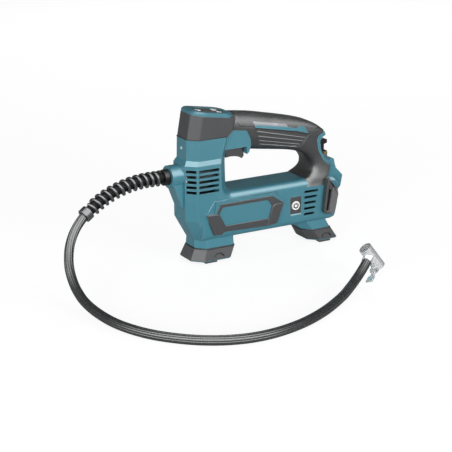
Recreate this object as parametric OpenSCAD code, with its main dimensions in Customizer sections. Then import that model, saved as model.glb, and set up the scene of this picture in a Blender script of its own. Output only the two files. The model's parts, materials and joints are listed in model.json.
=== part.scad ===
// Portable tire inflator: a cordless air pump with a carrying handle, a display on its
// tower, a hose with a bend guard and a lever chuck. Front is -X, rear is +X, the side
// with the power button is -Y. The origin is the middle of its footprint, on the floor.

/* [Overall] */
// Length from the hose outlet's face to the battery rail
overall_length = 216; // [208:1:236]
// Width of the housing
housing_width = 46; // [44:0.5:52]
// Thickness of the housing's wall
wall = 2.4; // [2:0.1:2.8]

/* [Body] */
// Height of the body's underside above the floor
body_bottom = 26; // [25:0.5:28]
// Height of the body, from underside to top
body_height = 52; // [51:0.5:57]
// Radius of the body's long edges
body_edge = 8; // [5:0.5:10]

/* [Tower] */
// Length of the tower along the tool
tower_length = 49; // [47:0.5:56]
// Size of the tower's corner chamfers
tower_chamfer = 10; // [7:0.5:11]
// Height of the sloped band round the tower above the floor
band_height = 112; // [108:0.5:116]
// How far the upper tower is stepped in at each side
band_step = 2; // [1:0.25:3]
// Height of the display cap's lower edge above the floor
cap_bottom = 140; // [136:0.5:146]
// Height of the display cap at its front
cap_height = 27; // [24:0.5:32]
// Backward tilt of the display
display_tilt = 9; // [5:0.5:12]
// Number of cooling slots in each group on the tower
tower_slots = 5; // [3:1:5]
// Height of one cooling slot
slot_height = 3.2; // [2:0.1:3.4]
// Spacing of the cooling slots
slot_pitch = 5.8; // [5:0.1:6.4]

/* [Display] */
// Length of the display window
window_length = 34; // [30:0.5:36]
// Width of the display window
window_width = 25; // [22:0.5:27]
// Width of one display button
key_width = 6; // [4:0.25:6.5]
// Travel of the display buttons
key_travel = 0.6; // [0.4:0.1:1]

/* [Feet] */
// Width of the two feet where the rubber begins
foot_width = 41; // [39:0.5:43]
// Height of the rubber shoes
shoe_height = 12; // [10:0.5:13]
// Thickness of the rubber of the shoes
shoe_thickness = 3; // [2:0.25:3.5]
// Height of the small pads that touch the floor
pad_height = 3; // [2:0.25:4]
// Length of one pad
pad_length = 15; // [10:0.5:18]

/* [Hose outlet] */
// How far the outlet stands out of the tower
boss_reach = 14; // [11:0.5:18]
// Outer diameter of the outlet
boss_diameter = 25; // [22:0.5:28]
// Height of the hose where it leaves the tower
hose_height = 99; // [98:0.5:100]
// Outer diameter of the hose
hose_diameter = 10; // [8:0.5:10.5]
// Diameter of the wire of the bend guard
guard_wire = 3.2; // [2.4:0.1:3.4]
// Number of curls of the bend guard
guard_curls = 12; // [10:1:13]

/* [Handle] */
// Width of the soft grip
grip_width = 34; // [30:0.5:38]
// Thickness of the soft grip over its core
grip_skin = 3.5; // [2.5:0.25:4]
// How far the grip is raised or lowered as a whole
grip_lift = 0; // [-2:0.5:3]

/* [Trigger] */
// Width of the trigger
trigger_width = 18; // [14:0.5:20]
// Travel of the trigger
trigger_travel = 4; // [3:0.25:5]
// Clearance round the trigger
trigger_gap = 0.5; // [0.3:0.05:0.8]

/* [Power button] */
// Diameter of the power button
power_diameter = 10; // [8:0.25:12]
// Travel of the power button
power_travel = 0.8; // [0.5:0.1:1.2]

/* [Drive] */
// Diameter of the motor
motor_diameter = 30; // [26:0.5:31]
// Length of the motor's can
motor_length = 60; // [50:1:64]
// Module of the gears
gear_module = 0.8; // [0.7:0.05:0.8]
// Teeth of the motor pinion
pinion_teeth = 10; // [9:1:11]
// Teeth of the drive gear
gear_teeth = 30; // [27:1:30]
// Width of the gear teeth
gear_face = 6; // [4:0.5:7]
// Crank radius, half the piston's stroke
crank_radius = 6; // [4:0.25:7]
// Bore of the cylinder
cylinder_bore = 22; // [18:0.5:24]
// Wall of the cylinder
cylinder_wall = 3; // [2:0.25:3.5]

/* [Chuck] */
// Length of the chuck's barrel
barrel_length = 28; // [25:0.5:34]
// Diameter of the chuck's barrel
barrel_diameter = 14; // [13:0.25:16]
// Diameter of the hole that takes the tyre valve
valve_bore = 8; // [7.8:0.1:8.6]
// Depth of the hole that takes the tyre valve
valve_depth = 8; // [6:0.5:9]
// Length of the chuck's lever
lever_length = 15; // [11:0.5:15.5]

/* [Hidden] */

teal = "#3f8fa5";
dark = "#4b4b4d";
black = "#222224";
steel = "#b9bcc0";
brass = "#c8a14a";
board = "#2f6b3c";
fit = 0.2;                      // gap between pieces that are pushed together by hand
running = 0.05;                 // radial gap of a running shaft
eps = 0.01;                     // overlap of cuts past a face
far = 400;                      // longer than the tool, for cutting solids

// ---- places along the tool ------------------------------------------------------------
front_x = -overall_length / 2;
rear_x = overall_length / 2;
tower_x0 = front_x + boss_reach;
tower_x1 = tower_x0 + tower_length;
tower_mid = (tower_x0 + tower_x1) / 2 + 1.5;
body_top = body_bottom + body_height;
body_x1 = rear_x - 11.5;
half = housing_width / 2;

// ---- feet -----------------------------------------------------------------------------
flange = 1;                                     // plate under the rubber
shoe_z0 = pad_height + flange;
shoe_z1 = shoe_z0 + shoe_height;
foot_rear_chamfer = 2;
toe = 4;                                        // how far a shoe spreads at its bottom
front_set = 13;                                 // setback of the front foot
front_foot_x0 = tower_x0 + front_set;
front_foot_x1 = tower_x1 + 8.5;
foot_waist = foot_width - 3;                    // width of the feet at the body
rear_foot_x0 = rear_x - 51;                     // rear foot at the top of its shoe
rear_foot_x1 = rear_x - 18;
rear_slope = 8.5;                               // backward slope of the rear foot

// A station of a chamfered loft: height, front, rear, width, front chamfer, rear chamfer
function station(z, x0, x1, w, cf, cr) = [z, x0, x1, w, cf, cr];
function inset_chamfer(c, d) = max(0.3, c - (2 - sqrt(2)) * d);
function inset(s, d) = [s[0], s[1] + d, s[2] - d, s[3] - 2 * d,
                        inset_chamfer(s[4], d), inset_chamfer(s[5], d)];
function inset_all(list, d) = [for (s = list) inset(s, d)];
function at_height(s, z) = [z, s[1], s[2], s[3], s[4], s[5]];
function between(a, b, z) = a + (b - a) * (z - a[0]) / (b[0] - a[0]);

front_foot = [station(shoe_z1, front_foot_x0, front_foot_x1, foot_width,
                      tower_chamfer, foot_rear_chamfer),
              station(body_bottom, front_foot_x0, front_foot_x1, foot_waist,
                      tower_chamfer, foot_rear_chamfer)];
tower_lower = [at_height(front_foot[1], body_bottom),
               station(body_bottom + 24.5, tower_x0 + 0.5, tower_x1 + 2, housing_width,
                       tower_chamfer, tower_chamfer),
               station(band_height, tower_x0, tower_x1, housing_width,
                       tower_chamfer, tower_chamfer)];
tower_upper = [station(band_height + 5, tower_x0 + 3, tower_x1 + 1.5,
                       housing_width - 2 * band_step, tower_chamfer, tower_chamfer),
               station(cap_bottom, tower_x0 + 3.5, tower_x1 + 8,
                       housing_width - 2 * band_step, tower_chamfer, tower_chamfer)];
tower = concat(front_foot, [tower_lower[1], tower_lower[2]], tower_upper);

rear_foot = [station(shoe_z1, rear_foot_x0, rear_foot_x1, foot_width,
                     tower_chamfer, foot_rear_chamfer),
             station(body_bottom + 0.5, rear_foot_x0 - rear_slope, rear_foot_x1 - rear_slope + 3,
                     foot_waist, tower_chamfer, foot_rear_chamfer),
             station(body_bottom + 8, rear_foot_x0 - rear_slope, rear_foot_x1 - rear_slope + 3,
                     foot_waist, tower_chamfer, foot_rear_chamfer)];

// Rubber shoes: the same outline spread outwards at the floor
front_shoe_outer = [station(shoe_z0, front_foot_x0 - toe - 2.5, front_foot_x1 - toe - 1.5,
                            foot_width + 6, tower_chamfer + 1, foot_rear_chamfer),
                    station(shoe_z1, front_foot_x0 - 1, front_foot_x1 + 0.6,
                            foot_width + 1.2, tower_chamfer, foot_rear_chamfer)];
rear_shoe_outer = [station(shoe_z0, rear_foot_x0 + rear_slope - 2, rear_foot_x1 + rear_slope,
                           foot_width + 4, tower_chamfer + 1, foot_rear_chamfer),
                   station(shoe_z1, rear_foot_x0 - 0.6, rear_foot_x1 + 0.6,
                           foot_width + 1.2, tower_chamfer, foot_rear_chamfer)];

// Exact loft through chamfered rectangles, as four crossing prisms
module chamfer_loft(list) {
    n = len(list);
    widest = max([for (s = list) s[3]]);
    side = concat([for (s = list) [s[1], s[0]]],
                  [for (i = [n - 1:-1:0]) [list[i][2], list[i][0]]]);
    across = concat([for (s = list) [-s[3] / 2, s[0]]],
                    [for (i = [n - 1:-1:0]) [list[i][3] / 2, list[i][0]]]);
    corner = concat([for (s = list) [(s[1] + s[4] - s[3] / 2) / sqrt(2), s[0]]],
                    [for (i = [n - 1:-1:0])
                        [(list[i][2] - list[i][5] + list[i][3] / 2) / sqrt(2), list[i][0]]]);
    intersection() {
        y_prism(widest + 1) polygon(side);
        x_prism(-far, far) polygon(across);
        rotate([0, 0, 45]) y_prism(2 * far) polygon(corner);
        rotate([0, 0, -45]) y_prism(2 * far) polygon(corner);
    }
}

// Prism of an XZ outline, centred on Y = 0
module y_prism(width) {
    rotate([90, 0, 0]) translate([0, 0, -width / 2]) linear_extrude(width) children();
}

// Prism of an XZ outline between two values of Y
module y_span(y0, y1) {
    translate([0, y1, 0]) rotate([90, 0, 0]) linear_extrude(y1 - y0) children();
}

// Prism of a YZ outline between two values of X
module x_prism(x0, x1) {
    translate([x0, 0, 0]) rotate([90, 0, 90]) linear_extrude(x1 - x0) children();
}

module x_cylinder(x0, x1, d, y = 0, z = 0) {
    translate([x0, y, z]) rotate([0, 90, 0]) cylinder(h = x1 - x0, d = d, $fn = 64);
}

module y_cylinder(y0, y1, d, x = 0, z = 0) {
    translate([x, y0, z]) rotate([-90, 0, 0]) cylinder(h = y1 - y0, d = d, $fn = 48);
}

// Rectangle with true round corners, between two corner points
module round_rect(p, q, r) {
    translate([p[0] + r, p[1]]) square([q[0] - p[0] - 2 * r, q[1] - p[1]]);
    translate([p[0], p[1] + r]) square([q[0] - p[0], q[1] - p[1] - 2 * r]);
    for (x = [p[0] + r, q[0] - r])
        for (y = [p[1] + r, q[1] - r])
            translate([x, y]) circle(r = r, $fn = 48);
}

module left_side() {
    intersection() {
        children();
        translate([-far, -far, -far]) cube([2 * far, far, 2 * far]);
    }
}

module right_side() {
    intersection() {
        children();
        translate([-far, 0, -far]) cube([2 * far, far, 2 * far]);
    }
}

// ---- handle ---------------------------------------------------------------------------
// Each pair is a point of the grip's back and the point of its underside across from it
grip_z = grip_lift;
leg_x = rear_x - 108;
grip_pairs = [[[tower_x1 + 8, 163], [tower_x1 + 8, 123.4]],
              [[tower_x1 + 25, 161], [tower_x1 + 25, 119.6]],
              [[-4, 158.6], [-4, 117]],
              [[15, 154.6], [14, 114.4]],
              [[leg_x + 35, 150], [leg_x + 33, 112]],
              [[leg_x + 52, 145.6], [leg_x + 45, 109.8]],
              [[leg_x + 66, 141], [leg_x + 54, 106.8]],
              [[leg_x + 77, 135], [leg_x + 60.5, 103]],
              [[leg_x + 87, 127], [leg_x + 64.6, 98]],
              [[leg_x + 94.5, 117], [leg_x + 66.6, 93]],
              [[leg_x + 97, 105], [leg_x + 66.6, 88.5]],
              [[leg_x + 97, 94], [leg_x + 64.3, 84]],
              [[leg_x + 95, 84], [leg_x + 59.5, 80.4]],
              [[leg_x + 91, 76], [leg_x + 53.5, 77]],
              [[leg_x + 84, 68.8], [leg_x + 49.5, 70]]];
grip_sides = 28;
grip_flare = 7;                 // how much wider the grip gets where it lies on the body

function lifted(p) = [p[0], p[1] + grip_z];
function pair_point(p, t) = lifted(p[0]) * (0.5 + t / 2) + lifted(p[1]) * (0.5 - t / 2);
function pair_half(p) = norm(p[0] - p[1]) / 2;

// 2 is an ellipse, more is squarer
function grip_power(i) = 2.5 + 2.5 * max(0, min(1, (i - 3) / 4));
function super(c, i) = sign(c) * pow(abs(c), 2 / grip_power(i));
function pair_width(i) = grip_width / 2 + grip_flare * pow(max(0, (i - 8) / 6), 2);
function grip_ring(i) = [for (k = [0:grip_sides - 1])
    let (a = 360 * k / grip_sides, m = pair_point(grip_pairs[i], super(cos(a), i)))
    [m[0], pair_width(i) * super(sin(a), i), m[1]]];

// Closed skin over a list of rings that all have the same number of points
function skin_points(rings) = [for (r = rings) for (p = r) p];
function skin_faces(n, m) = concat(
    [for (i = [0:n - 2]) for (k = [0:m - 1])
        [i * m + k, i * m + (k + 1) % m, (i + 1) * m + (k + 1) % m]],
    [for (i = [0:n - 2]) for (k = [0:m - 1])
        [i * m + k, (i + 1) * m + (k + 1) % m, (i + 1) * m + k]],
    [for (k = [1:m - 2]) [0, k + 1, k]],
    [for (k = [1:m - 2]) [(n - 1) * m, (n - 1) * m + k, (n - 1) * m + k + 1]]);

module skin(rings) {
    polyhedron(points = skin_points(rings), faces = skin_faces(len(rings), len(rings[0])));
}

module grip_outer() {
    skin([for (i = [0:len(grip_pairs) - 1]) grip_ring(i)]);
}

// Hard core of the handle, a flat-sided rib inside the soft grip
function core_edge(p, d) = [pair_point(p, 1 - d / pair_half(p)),
                            pair_point(p, -1 + d / pair_half(p))];
function core_outline(d) = let (c = [for (p = grip_pairs) core_edge(p, d)], n = len(c))
    concat([for (e = c) e[0]], [for (i = [n - 1:-1:0]) c[i][1]]);
core_width = grip_width - 2 * grip_skin;
core_shoulder = 5;              // how much lower the core's wide part is than its narrow part

module grip_core(d, width) {
    y_prism(width) polygon(core_outline(d + core_shoulder));
    y_prism(width - 9) polygon(core_outline(d));
}

// ---- trigger --------------------------------------------------------------------------
guard_x0 = tower_x1;
trigger_x0 = tower_x1 + 4;
trigger_x1 = tower_x1 + 26.5;
trigger_bottom = 111;
trigger_mouth = 124.5;
trigger_shell = grip_width - 1.6;
lip_x1 = tower_x1 + 31.5;

module trigger_outline() {
    polygon([[guard_x0 - 6, trigger_mouth], [lip_x1 - 5, trigger_mouth],
             [lip_x1 - 5, trigger_mouth - 8.5], [lip_x1 - 2.4, trigger_mouth - 6.5],
             [lip_x1, trigger_mouth + 1], [lip_x1 - 1, trigger_mouth + 9],
             [lip_x1 - 5.5, trigger_mouth + 18], [lip_x1 - 22, trigger_mouth + 20.5],
             [guard_x0 - 6, trigger_mouth + 20.5]]);
}

module trigger_housing_solid() {
    y_prism(trigger_shell) trigger_outline();
}

// Room for the trigger: a mouth, and a wider chamber over it that its flange moves in
trigger_flange = 1.2;
flange_z = trigger_mouth + 2.5;
module trigger_room(half_width, z0, z1) {
    translate([trigger_x0 - trigger_gap, -half_width - trigger_gap, z0])
        cube([trigger_x1 - trigger_x0 + 2 * trigger_gap, 2 * (half_width + trigger_gap),
              z1 - z0]);
}

module trigger_cut() {
    trigger_room(trigger_width / 2, body_top + 5, flange_z + eps);
    trigger_room(trigger_width / 2 + trigger_flange, flange_z, flange_z + 11.5);
}

// ---- battery interface ----------------------------------------------------------------
rail_half = 15.5;                               // half the width of the rail block
module battery_block() {
    y_prism(2 * rail_half)
        polygon([[rear_x - 52, 60], [rear_x - 24, 93], [rear_x - 16, 96], [rear_x - 12, 95],
                 [rear_x - 11, 89.5], [rear_x - 9, 84], [rear_x, 74.5],
                 [rear_x - 2.5, 62], [rear_x - 4.5, 60], [rear_x - 14, 48],
                 [rear_x - 26, 33], [rear_x - 52, 33]]);
}

// Rim round the battery's seat, and the seat's outline from its top lip downwards
rim_half = grip_width / 2 + 0.5;
rim_seat = [[rear_x - 25.2, 125], [rear_x - 30, 122.3], [rear_x - 32.5, 118.5],
            [rear_x - 31, 108], [rear_x - 28, 102], [rear_x - 25.2, 97.6]];
rim_back = [[rear_x - 19, 89.3], [rear_x - 23, 91.7], [rear_x - 27.3, 95.5],
            [rear_x - 30, 99.6], [rear_x - 34.6, 108.6], [rear_x - 36.5, 119.9],
            [rear_x - 35, 124.3], [rear_x - 26.5, 128.8]];
module rim_outline() {
    polygon(concat(rim_seat, rim_back));
}

module battery_rim() {
    y_prism(2 * rim_half) rim_outline();
}

// Space that the battery and its terminals take at the back of the handle
module battery_space() {
    y_prism(far)
        polygon(concat(rim_seat, [[rear_x - 16, 96.4], [rear_x - 11.8, 95.4],
                                  [rear_x - 10.6, 90], [rear_x - 8, 84.4],
                                  [rear_x + 30, 60], [rear_x + 30, 125]]));
}

// ---- housing --------------------------------------------------------------------------
boss_depth = 22;                                // length of the outlet's tube in the tower
rib_width = 19;

// Round outlet, and the rib that carries it down the front of the tower
module outlet_fairing() {
    y_prism(rib_width)
        polygon([[tower_x0 + wall, hose_height - 4], [front_x + 1.5, hose_height - 4],
                 [front_x + 2.5, hose_height - 8], [tower_x0 - 1.5, hose_height - 34],
                 [tower_x0 + wall, hose_height - 36]]);
    x_cylinder(front_x, tower_x0 + boss_depth - boss_reach, boss_diameter, 0, hose_height);
}

module body_solid() {
    intersection() {
        x_prism(tower_x0 + 16, rear_x)
            round_rect([-half, body_bottom], [half, body_top], body_edge);
        y_prism(far)
            polygon([[tower_x0 + 16, body_bottom], [rear_x - 20, body_bottom],
                     [rear_x - 15, body_bottom + 4],
                     [body_x1, body_bottom + 20], [body_x1, body_top - 8],
                     [body_x1 - 8, body_top], [tower_x0 + 16, body_top]]);
    }
}

// Cores of the feet, which reach a little into the housing and into the plates below
foot_sink = 1;
rear_core = station(shoe_z0, rear_foot_x0 + rear_slope - 2, rear_foot_x1 + rear_slope - 1,
                    foot_width, tower_chamfer, foot_rear_chamfer);
function rear_core_at(z) = inset(between(rear_core, rear_foot[0], z), shoe_thickness);

module foot_cores() {
    chamfer_loft(inset_all([at_height(front_foot[0], shoe_z0 - flange / 2),
                            at_height(front_foot[0], shoe_z1 + foot_sink)], shoe_thickness));
    chamfer_loft([rear_core_at(shoe_z0 - flange / 2), rear_core_at(shoe_z1 + foot_sink)]);
    chamfer_loft([at_height(inset(front_shoe_outer[0], 0.8), pad_height),
                  inset(front_shoe_outer[0], 0.8)]);
    chamfer_loft([at_height(inset(rear_shoe_outer[0], 0.8), pad_height),
                  inset(rear_shoe_outer[0], 0.8)]);
}

module housing_outer() {
    chamfer_loft(tower);
    chamfer_loft(rear_foot);
    foot_cores();
    body_solid();
    outlet_fairing();
    trigger_housing_solid();
    difference() {
        grip_core(grip_skin, core_width);
        battery_space();
    }
    battery_block();
    battery_rim();
    badge_pads();
}

// Space inside the housing
cavity_z0 = body_bottom + wall;
body_floor = cavity_z0 + 0.5;                   // the body's floor is a little thicker
module tower_cavity() {
    lower = inset(tower_lower[0], wall);
    chamfer_loft(concat([at_height(lower, cavity_z0)],
                        inset_all([tower[2], tower[3], tower[4]], wall),
                        [at_height(inset(tower[5], wall), cap_bottom - 3)]));
    chamfer_loft([at_height(inset(tower[5], 2 * wall), cap_bottom - 4),
                  at_height(inset(tower[5], 2 * wall), cap_bottom + eps)]);
}

module body_cavity() {
    x_prism(tower_x1 - 10, body_x1 - 12 - wall)
        round_rect([-half + wall, body_floor], [half - wall, body_top - wall],
                   body_edge - wall);
}

module handle_cavity() {
    difference() {
        grip_core(grip_skin + wall, core_width - 2 * wall);
        translate([leg_x + 59, -far / 2, 0]) cube([far, far, far]);
        translate([-far + tower_x1 + 4, -far / 2, 0]) cube([far, far, far]);
    }
}

slot_z0 = band_height - 6;
side_slot_x0 = tower_x0 + tower_chamfer + 2;
side_slot_x1 = tower_x1 - 12;

module slot_cut(x0, x1, z) {
    translate([x0, -far / 2, z - slot_height / 2]) cube([x1 - x0, far, slot_height]);
}

module chamfer_slot(z, side) {
    x = tower_x0 + tower_chamfer / 2;
    y = side * (half - tower_chamfer / 2);
    translate([x, y, z])
        rotate([0, 0, -45 * side])
            translate([-4.5, -6, -slot_height / 2]) cube([9, 12, slot_height]);
}

rear_slot_x0 = rear_x - 56;
rear_slot_z0 = body_top - 14;
rear_slots = 5;
rear_slot_height = 2.9;
rear_slot_length = 18.5;                        // of the top one; each lower one is shorter
rear_slot_pitch = 6.5;

module cooling_slots() {
    for (i = [0:tower_slots - 1]) {
        slot_cut(side_slot_x0, side_slot_x1, slot_z0 - i * slot_pitch);
        for (side = [-1, 1]) chamfer_slot(slot_z0 - i * slot_pitch, side);
    }
    for (i = [0:rear_slots - 1])
        translate([rear_slot_x0, -far / 2, rear_slot_z0 - i * rear_slot_pitch
                   - rear_slot_height / 2])
            cube([rear_slot_length - i * 1.1, far, rear_slot_height]);
}

// Screws go in from the right; each has a post in both halves
screw_head = 6;
screw_shank = 3;
screw_post = 7.6;
function screw_x() = fan_x0 + fan_width + screw_post / 2 + 8.9;     // clear of the fan
function screw_places() = [[tower_x0 + 8, 64], [tower_x0 + 10, band_height + 9.5],
                           [tower_x1 + 14, cavity_z0 + 3], [screw_x(), cavity_z0 + 3],
                           [screw_x(), body_top - 6], [-6, 136 + grip_z],
                           [leg_x + 44, 127.5 + grip_z]];
screw_seat = 8;                                 // Y of the underside of the screw heads
function post_y(p) = p[1] > body_top && p[0] > tower_x1 ? core_width / 2 - wall / 2 : half - wall - 0.5;
function screw_tip(p) = 6 - post_y(p);

module screw_posts() {
    for (p = screw_places()) y_cylinder(-post_y(p), post_y(p), screw_post, p[0], p[1]);
}

module screw_holes() {
    for (p = screw_places()) {
        y_cylinder(screw_seat, far, screw_head + 2 * fit, p[0], p[1]);
        y_cylinder(screw_tip(p) - 1, screw_seat + eps, screw_shank, p[0], p[1]);
    }
}

module housing() {
    difference() {
        union() {
            difference() {
                housing_outer();
                tower_cavity();
                body_cavity();
                handle_cavity();
            }
            intersection() {
                screw_posts();
                housing_outer();
            }
            motor_cradle();
            frame_ribs();
            board_ledges();
        }
        cooling_slots();
        trigger_cut();
        screw_holes();
        outlet_bore();
        power_cut();
        lamp_cut();
        terminal_cut();
        holder_recess();
        badge_recess();
        switch_pocket();
        frame_recess();
        board_slot();
        difference() {
            intersection() {
                chamfer_loft(cap_stations);
                translate([-far, -far, cap_bottom]) cube(2 * far);
            }
            cap_notch(0);
        }
        bezel_room();
    }
}

module housing_left() {
    color(teal) left_side() housing();
}

module housing_right() {
    color(teal) right_side() housing();
}

// ---- hose outlet ----------------------------------------------------------------------
nut_diameter = 18;
collar_diameter = 17.5;
tube_diameter = 6;
nut_x1 = front_x + 16;

module outlet_bore() {
    x_cylinder(front_x - 1, nut_x1, nut_diameter, 0, hose_height);
    x_cylinder(front_x + 1, tower_x0 + 12, tube_diameter + 2, 0, hose_height);
}

// Brass fitting that screws the hose to the air tube, inside the outlet
module hose_nut() {
    color(brass)
        difference() {
            x_cylinder(front_x + 2, nut_x1, nut_diameter - 2 * fit, 0, hose_height);
            x_cylinder(front_x + 1, nut_x1 - 6, hose_diameter, 0, hose_height);
            x_cylinder(front_x + 1, nut_x1 + 1, tube_diameter, 0, hose_height);
        }
}

// ---- display cap ----------------------------------------------------------------------
cap_x0 = tower_x0 + 3.5;
cap_x1 = tower_x1 + 8;
cap_width = housing_width - 2 * band_step;
cap_lean = 5;                                   // how far the cap leans back at its top
cap_wall = 3;
cap_front_z = cap_bottom + cap_height;
display_x = (cap_x0 + cap_x1) / 2 + cap_lean - 1;
display_z = cap_front_z - tan(display_tilt) * (display_x - cap_x0 - cap_lean);
cap_top_z = cap_front_z + 6;
lean_rate = cap_lean / (cap_height + 2);

cap_rear_chamfer = 3;
cap_stations = [station(cap_bottom, cap_x0, cap_x1, cap_width, tower_chamfer,
                        cap_rear_chamfer),
                station(cap_top_z, cap_x0 + lean_rate * (cap_top_z - cap_bottom),
                        cap_x1 + 0.8 * lean_rate * (cap_top_z - cap_bottom), cap_width,
                        tower_chamfer, cap_rear_chamfer)];

// Slanted notch under the cap's rear corner, where the trigger's cheek meets it
notch_rise = 7.2;
module cap_notch(grow) {
    y_prism(far)
        polygon([[cap_x1 - notch_rise - 1 - 1.4 * grow, cap_bottom - 2 * eps],
                 [cap_x1 - 1 - 1.4 * grow, cap_bottom + notch_rise],
                 [cap_x1 + 20, cap_bottom + notch_rise + grow],
                 [cap_x1 + 20, cap_bottom - 2 * eps]]);
}

// Frame of the display: origin on its middle, Z square to it
module on_display() {
    translate([display_x, 0, display_z]) rotate([0, display_tilt, 0]) children();
}

bezel_length = cap_x1 - cap_x0 - 1.5;
bezel_width = cap_width - 1.5;
bezel_corner = 13;
bezel_height = 4.2;
bezel_bevel = 1.8;

module display_plate(length, width, corner, z0, z1) {
    translate([0, 0, z0])
        linear_extrude(z1 - z0)
            round_rect([-length / 2, -width / 2], [length / 2, width / 2], corner);
}

// Room for the bezel in what stands behind it
module bezel_room() {
    on_display()
        display_plate(bezel_length + 2 * fit, bezel_width + 2 * fit, bezel_corner, -fit,
                      far);
}

module display_cap() {
    color(dark)
        difference() {
            chamfer_loft(cap_stations);
            on_display() translate([-far / 2, -far / 2, 0]) cube(far);
            cap_notch(0);
            difference() {
                chamfer_loft([at_height(inset(cap_stations[0], cap_wall), cap_bottom - 1),
                              inset(cap_stations[1], cap_wall)]);
                on_display() translate([-far / 2, -far / 2, -cap_wall]) cube(far);
                cap_notch(cap_wall);
            }
            on_display()
                display_plate(window_length - 4, window_width - 4, 2, -cap_wall - 1, 1);
        }
}

module display_bezel() {
    color(teal)
        on_display()
            difference() {
                union() {
                    display_plate(bezel_length, bezel_width, bezel_corner, 0,
                                  bezel_height - bezel_bevel);
                    hull() {
                        display_plate(bezel_length, bezel_width, bezel_corner,
                                      bezel_height - bezel_bevel - 0.1,
                                      bezel_height - bezel_bevel);
                        display_plate(bezel_length - 2 * bezel_bevel,
                                      bezel_width - 2 * bezel_bevel,
                                      bezel_corner - bezel_bevel,
                                      bezel_height - 0.1, bezel_height);
                    }
                }
                display_plate(window_length, window_width, 9, -1, bezel_height + 1);
            }
}

key_x = [-window_length / 2 + 5.5, window_length / 2 - 5.5, window_length / 2 - 5.5];
key_y = [0, -window_width / 4, window_width / 4];
key_length = 5;

module key_shape(i, grow, z0, z1) {
    translate([key_x[i], key_y[i], z0])
        linear_extrude(z1 - z0)
            round_rect([-key_length / 2 - grow, -key_width / 2 - grow],
                       [key_length / 2 + grow, key_width / 2 + grow], 1.2);
}

module display_window() {
    color(black)
        on_display()
            difference() {
                display_plate(window_length - fit, window_width - fit, 9, 0, 3.2);
                for (i = [0:2]) key_shape(i, fit, -1, 4);
            }
}

module display_key(i) {
    color("#e8e8e6") on_display() key_shape(i, 0, -1.4 - key_travel / 2, 3.6);
}

module mode_key() {
    display_key(0);
}

module plus_key() {
    display_key(1);
}

module minus_key() {
    display_key(2);
}

// Board under the window, with the digit module between the keys
module display_board() {
    color(board)
        on_display() {
            display_plate(window_length + 1, window_width + 1, 8, -cap_wall - 1.6, -cap_wall);
            translate([-7, -9, -cap_wall - eps]) cube([14, 18, cap_wall - 0.05]);
        }
}

// Small lamp in the front of the tower
lamp_z = 129;
lamp_diameter = 3;
module lamp_cut() {
    x_cylinder(tower_x0 - 5, tower_x0 + 12, lamp_diameter, 0, lamp_z);
}

module tower_lamp_lens() {
    color("#d8e6ea") x_cylinder(tower_x0 + 2.7, tower_x0 + 8, lamp_diameter - 0.1, 0, lamp_z);
}

// ---- grip -----------------------------------------------------------------------------
module grip() {
    difference() {
        grip_outer();
        grip_core(grip_skin, core_width);
        chamfer_loft(tower);
        chamfer_loft(cap_stations);
        bezel_room();
        holder_recess();
        y_prism(far) trigger_outline();
        translate([-far, -far, 0]) cube([lip_x1 - 4 + far, 2 * far, trigger_mouth + eps]);
        body_solid();
        battery_block();
        y_prism(far) rim_outline();
        y_prism(far)
            polygon([[rear_x - 25.3, 97.7], [rear_x - 19, 89.3], [rear_x - 21, 83],
                     [rear_x - 28, 71], [rear_x - 28, 60], [rear_x + 30, 60],
                     [rear_x + 30, 97.7]]);
        y_prism(far)
            polygon([[rear_x - 26.6, 128.9], [rear_x - 25.3, 124.9],
                     [rear_x + 30, 124.9], [rear_x + 30, 128.9]]);
        battery_space();
        trigger_cut();
        for (side = [-1, 1]) {
            inlay_cut(side) inlay_outline();
            inlay_cut(side) accent_outline();
        }
    }
}

// Silver strip and the coloured one under it, let into each side of the grip
module inlay_outline() {
    polygon([[tower_x1 + 33.5, 151.4], [leg_x + 31.5, 143], [leg_x + 34, 139.6],
             [tower_x1 + 36, 147.2]]);
}

module accent_outline() {
    polygon([[tower_x1 + 36, 147.2], [leg_x + 34, 139.6], [leg_x + 44, 137],
             [leg_x + 48, 139], [leg_x + 54.5, 137.8], [leg_x + 60, 129.6],
             [leg_x + 46, 133.6], [tower_x1 + 36.4, 144.4]]);
}

module inlay_cut(side) {
    translate([0, 0, grip_z])
        mirror([0, side > 0 ? 1 : 0, 0])
            y_span(-far, -core_width / 2 - 0.8) children();
}

module inlay_at(side) {
    intersection() {
        grip_outer();
        inlay_cut(side) children();
    }
}

module grip_inlay_left() {
    color(steel) inlay_at(-1) inlay_outline();
}

module grip_inlay_right() {
    color(steel) inlay_at(1) inlay_outline();
}

module grip_accent_left() {
    color(teal) inlay_at(-1) accent_outline();
}

module grip_accent_right() {
    color(teal) inlay_at(1) accent_outline();
}

module grip_left() {
    color(dark) left_side() grip();
}

module grip_right() {
    color(dark) right_side() grip();
}

// ---- trigger and its switch -----------------------------------------------------------
stem_top = 128;
module trigger() {
    color(dark) {
        translate([trigger_x0, -trigger_width / 2 - trigger_flange, flange_z + 0.05])
            cube([trigger_x1 - trigger_x0, trigger_width + 2 * trigger_flange,
                  stem_top - flange_z - 0.05]);
        y_prism(trigger_width)
            polygon([[trigger_x0, stem_top], [trigger_x0, trigger_bottom + 2],
                     [trigger_x0 + 6, trigger_bottom + 2.8],
                     [trigger_x0 + 12, trigger_bottom + 2.2],
                     [trigger_x0 + 18, trigger_bottom + 0.6],
                     [trigger_x1 - 2.4, trigger_bottom - 1.2],
                     [trigger_x1, trigger_bottom + 1.2], [trigger_x1, stem_top]]);
    }
}

switch_z = stem_top + trigger_travel + 0.5;
module switch_box(grow) {
    translate([trigger_x0 + 8 - grow, -8 - grow, switch_z - grow])
        cube([14 + 2 * grow, 16 + 2 * grow, 10 + 2 * grow]);
}

module switch_pocket() {
    switch_box(fit);
}

module trigger_switch() {
    color(black) switch_box(0);
}

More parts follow.
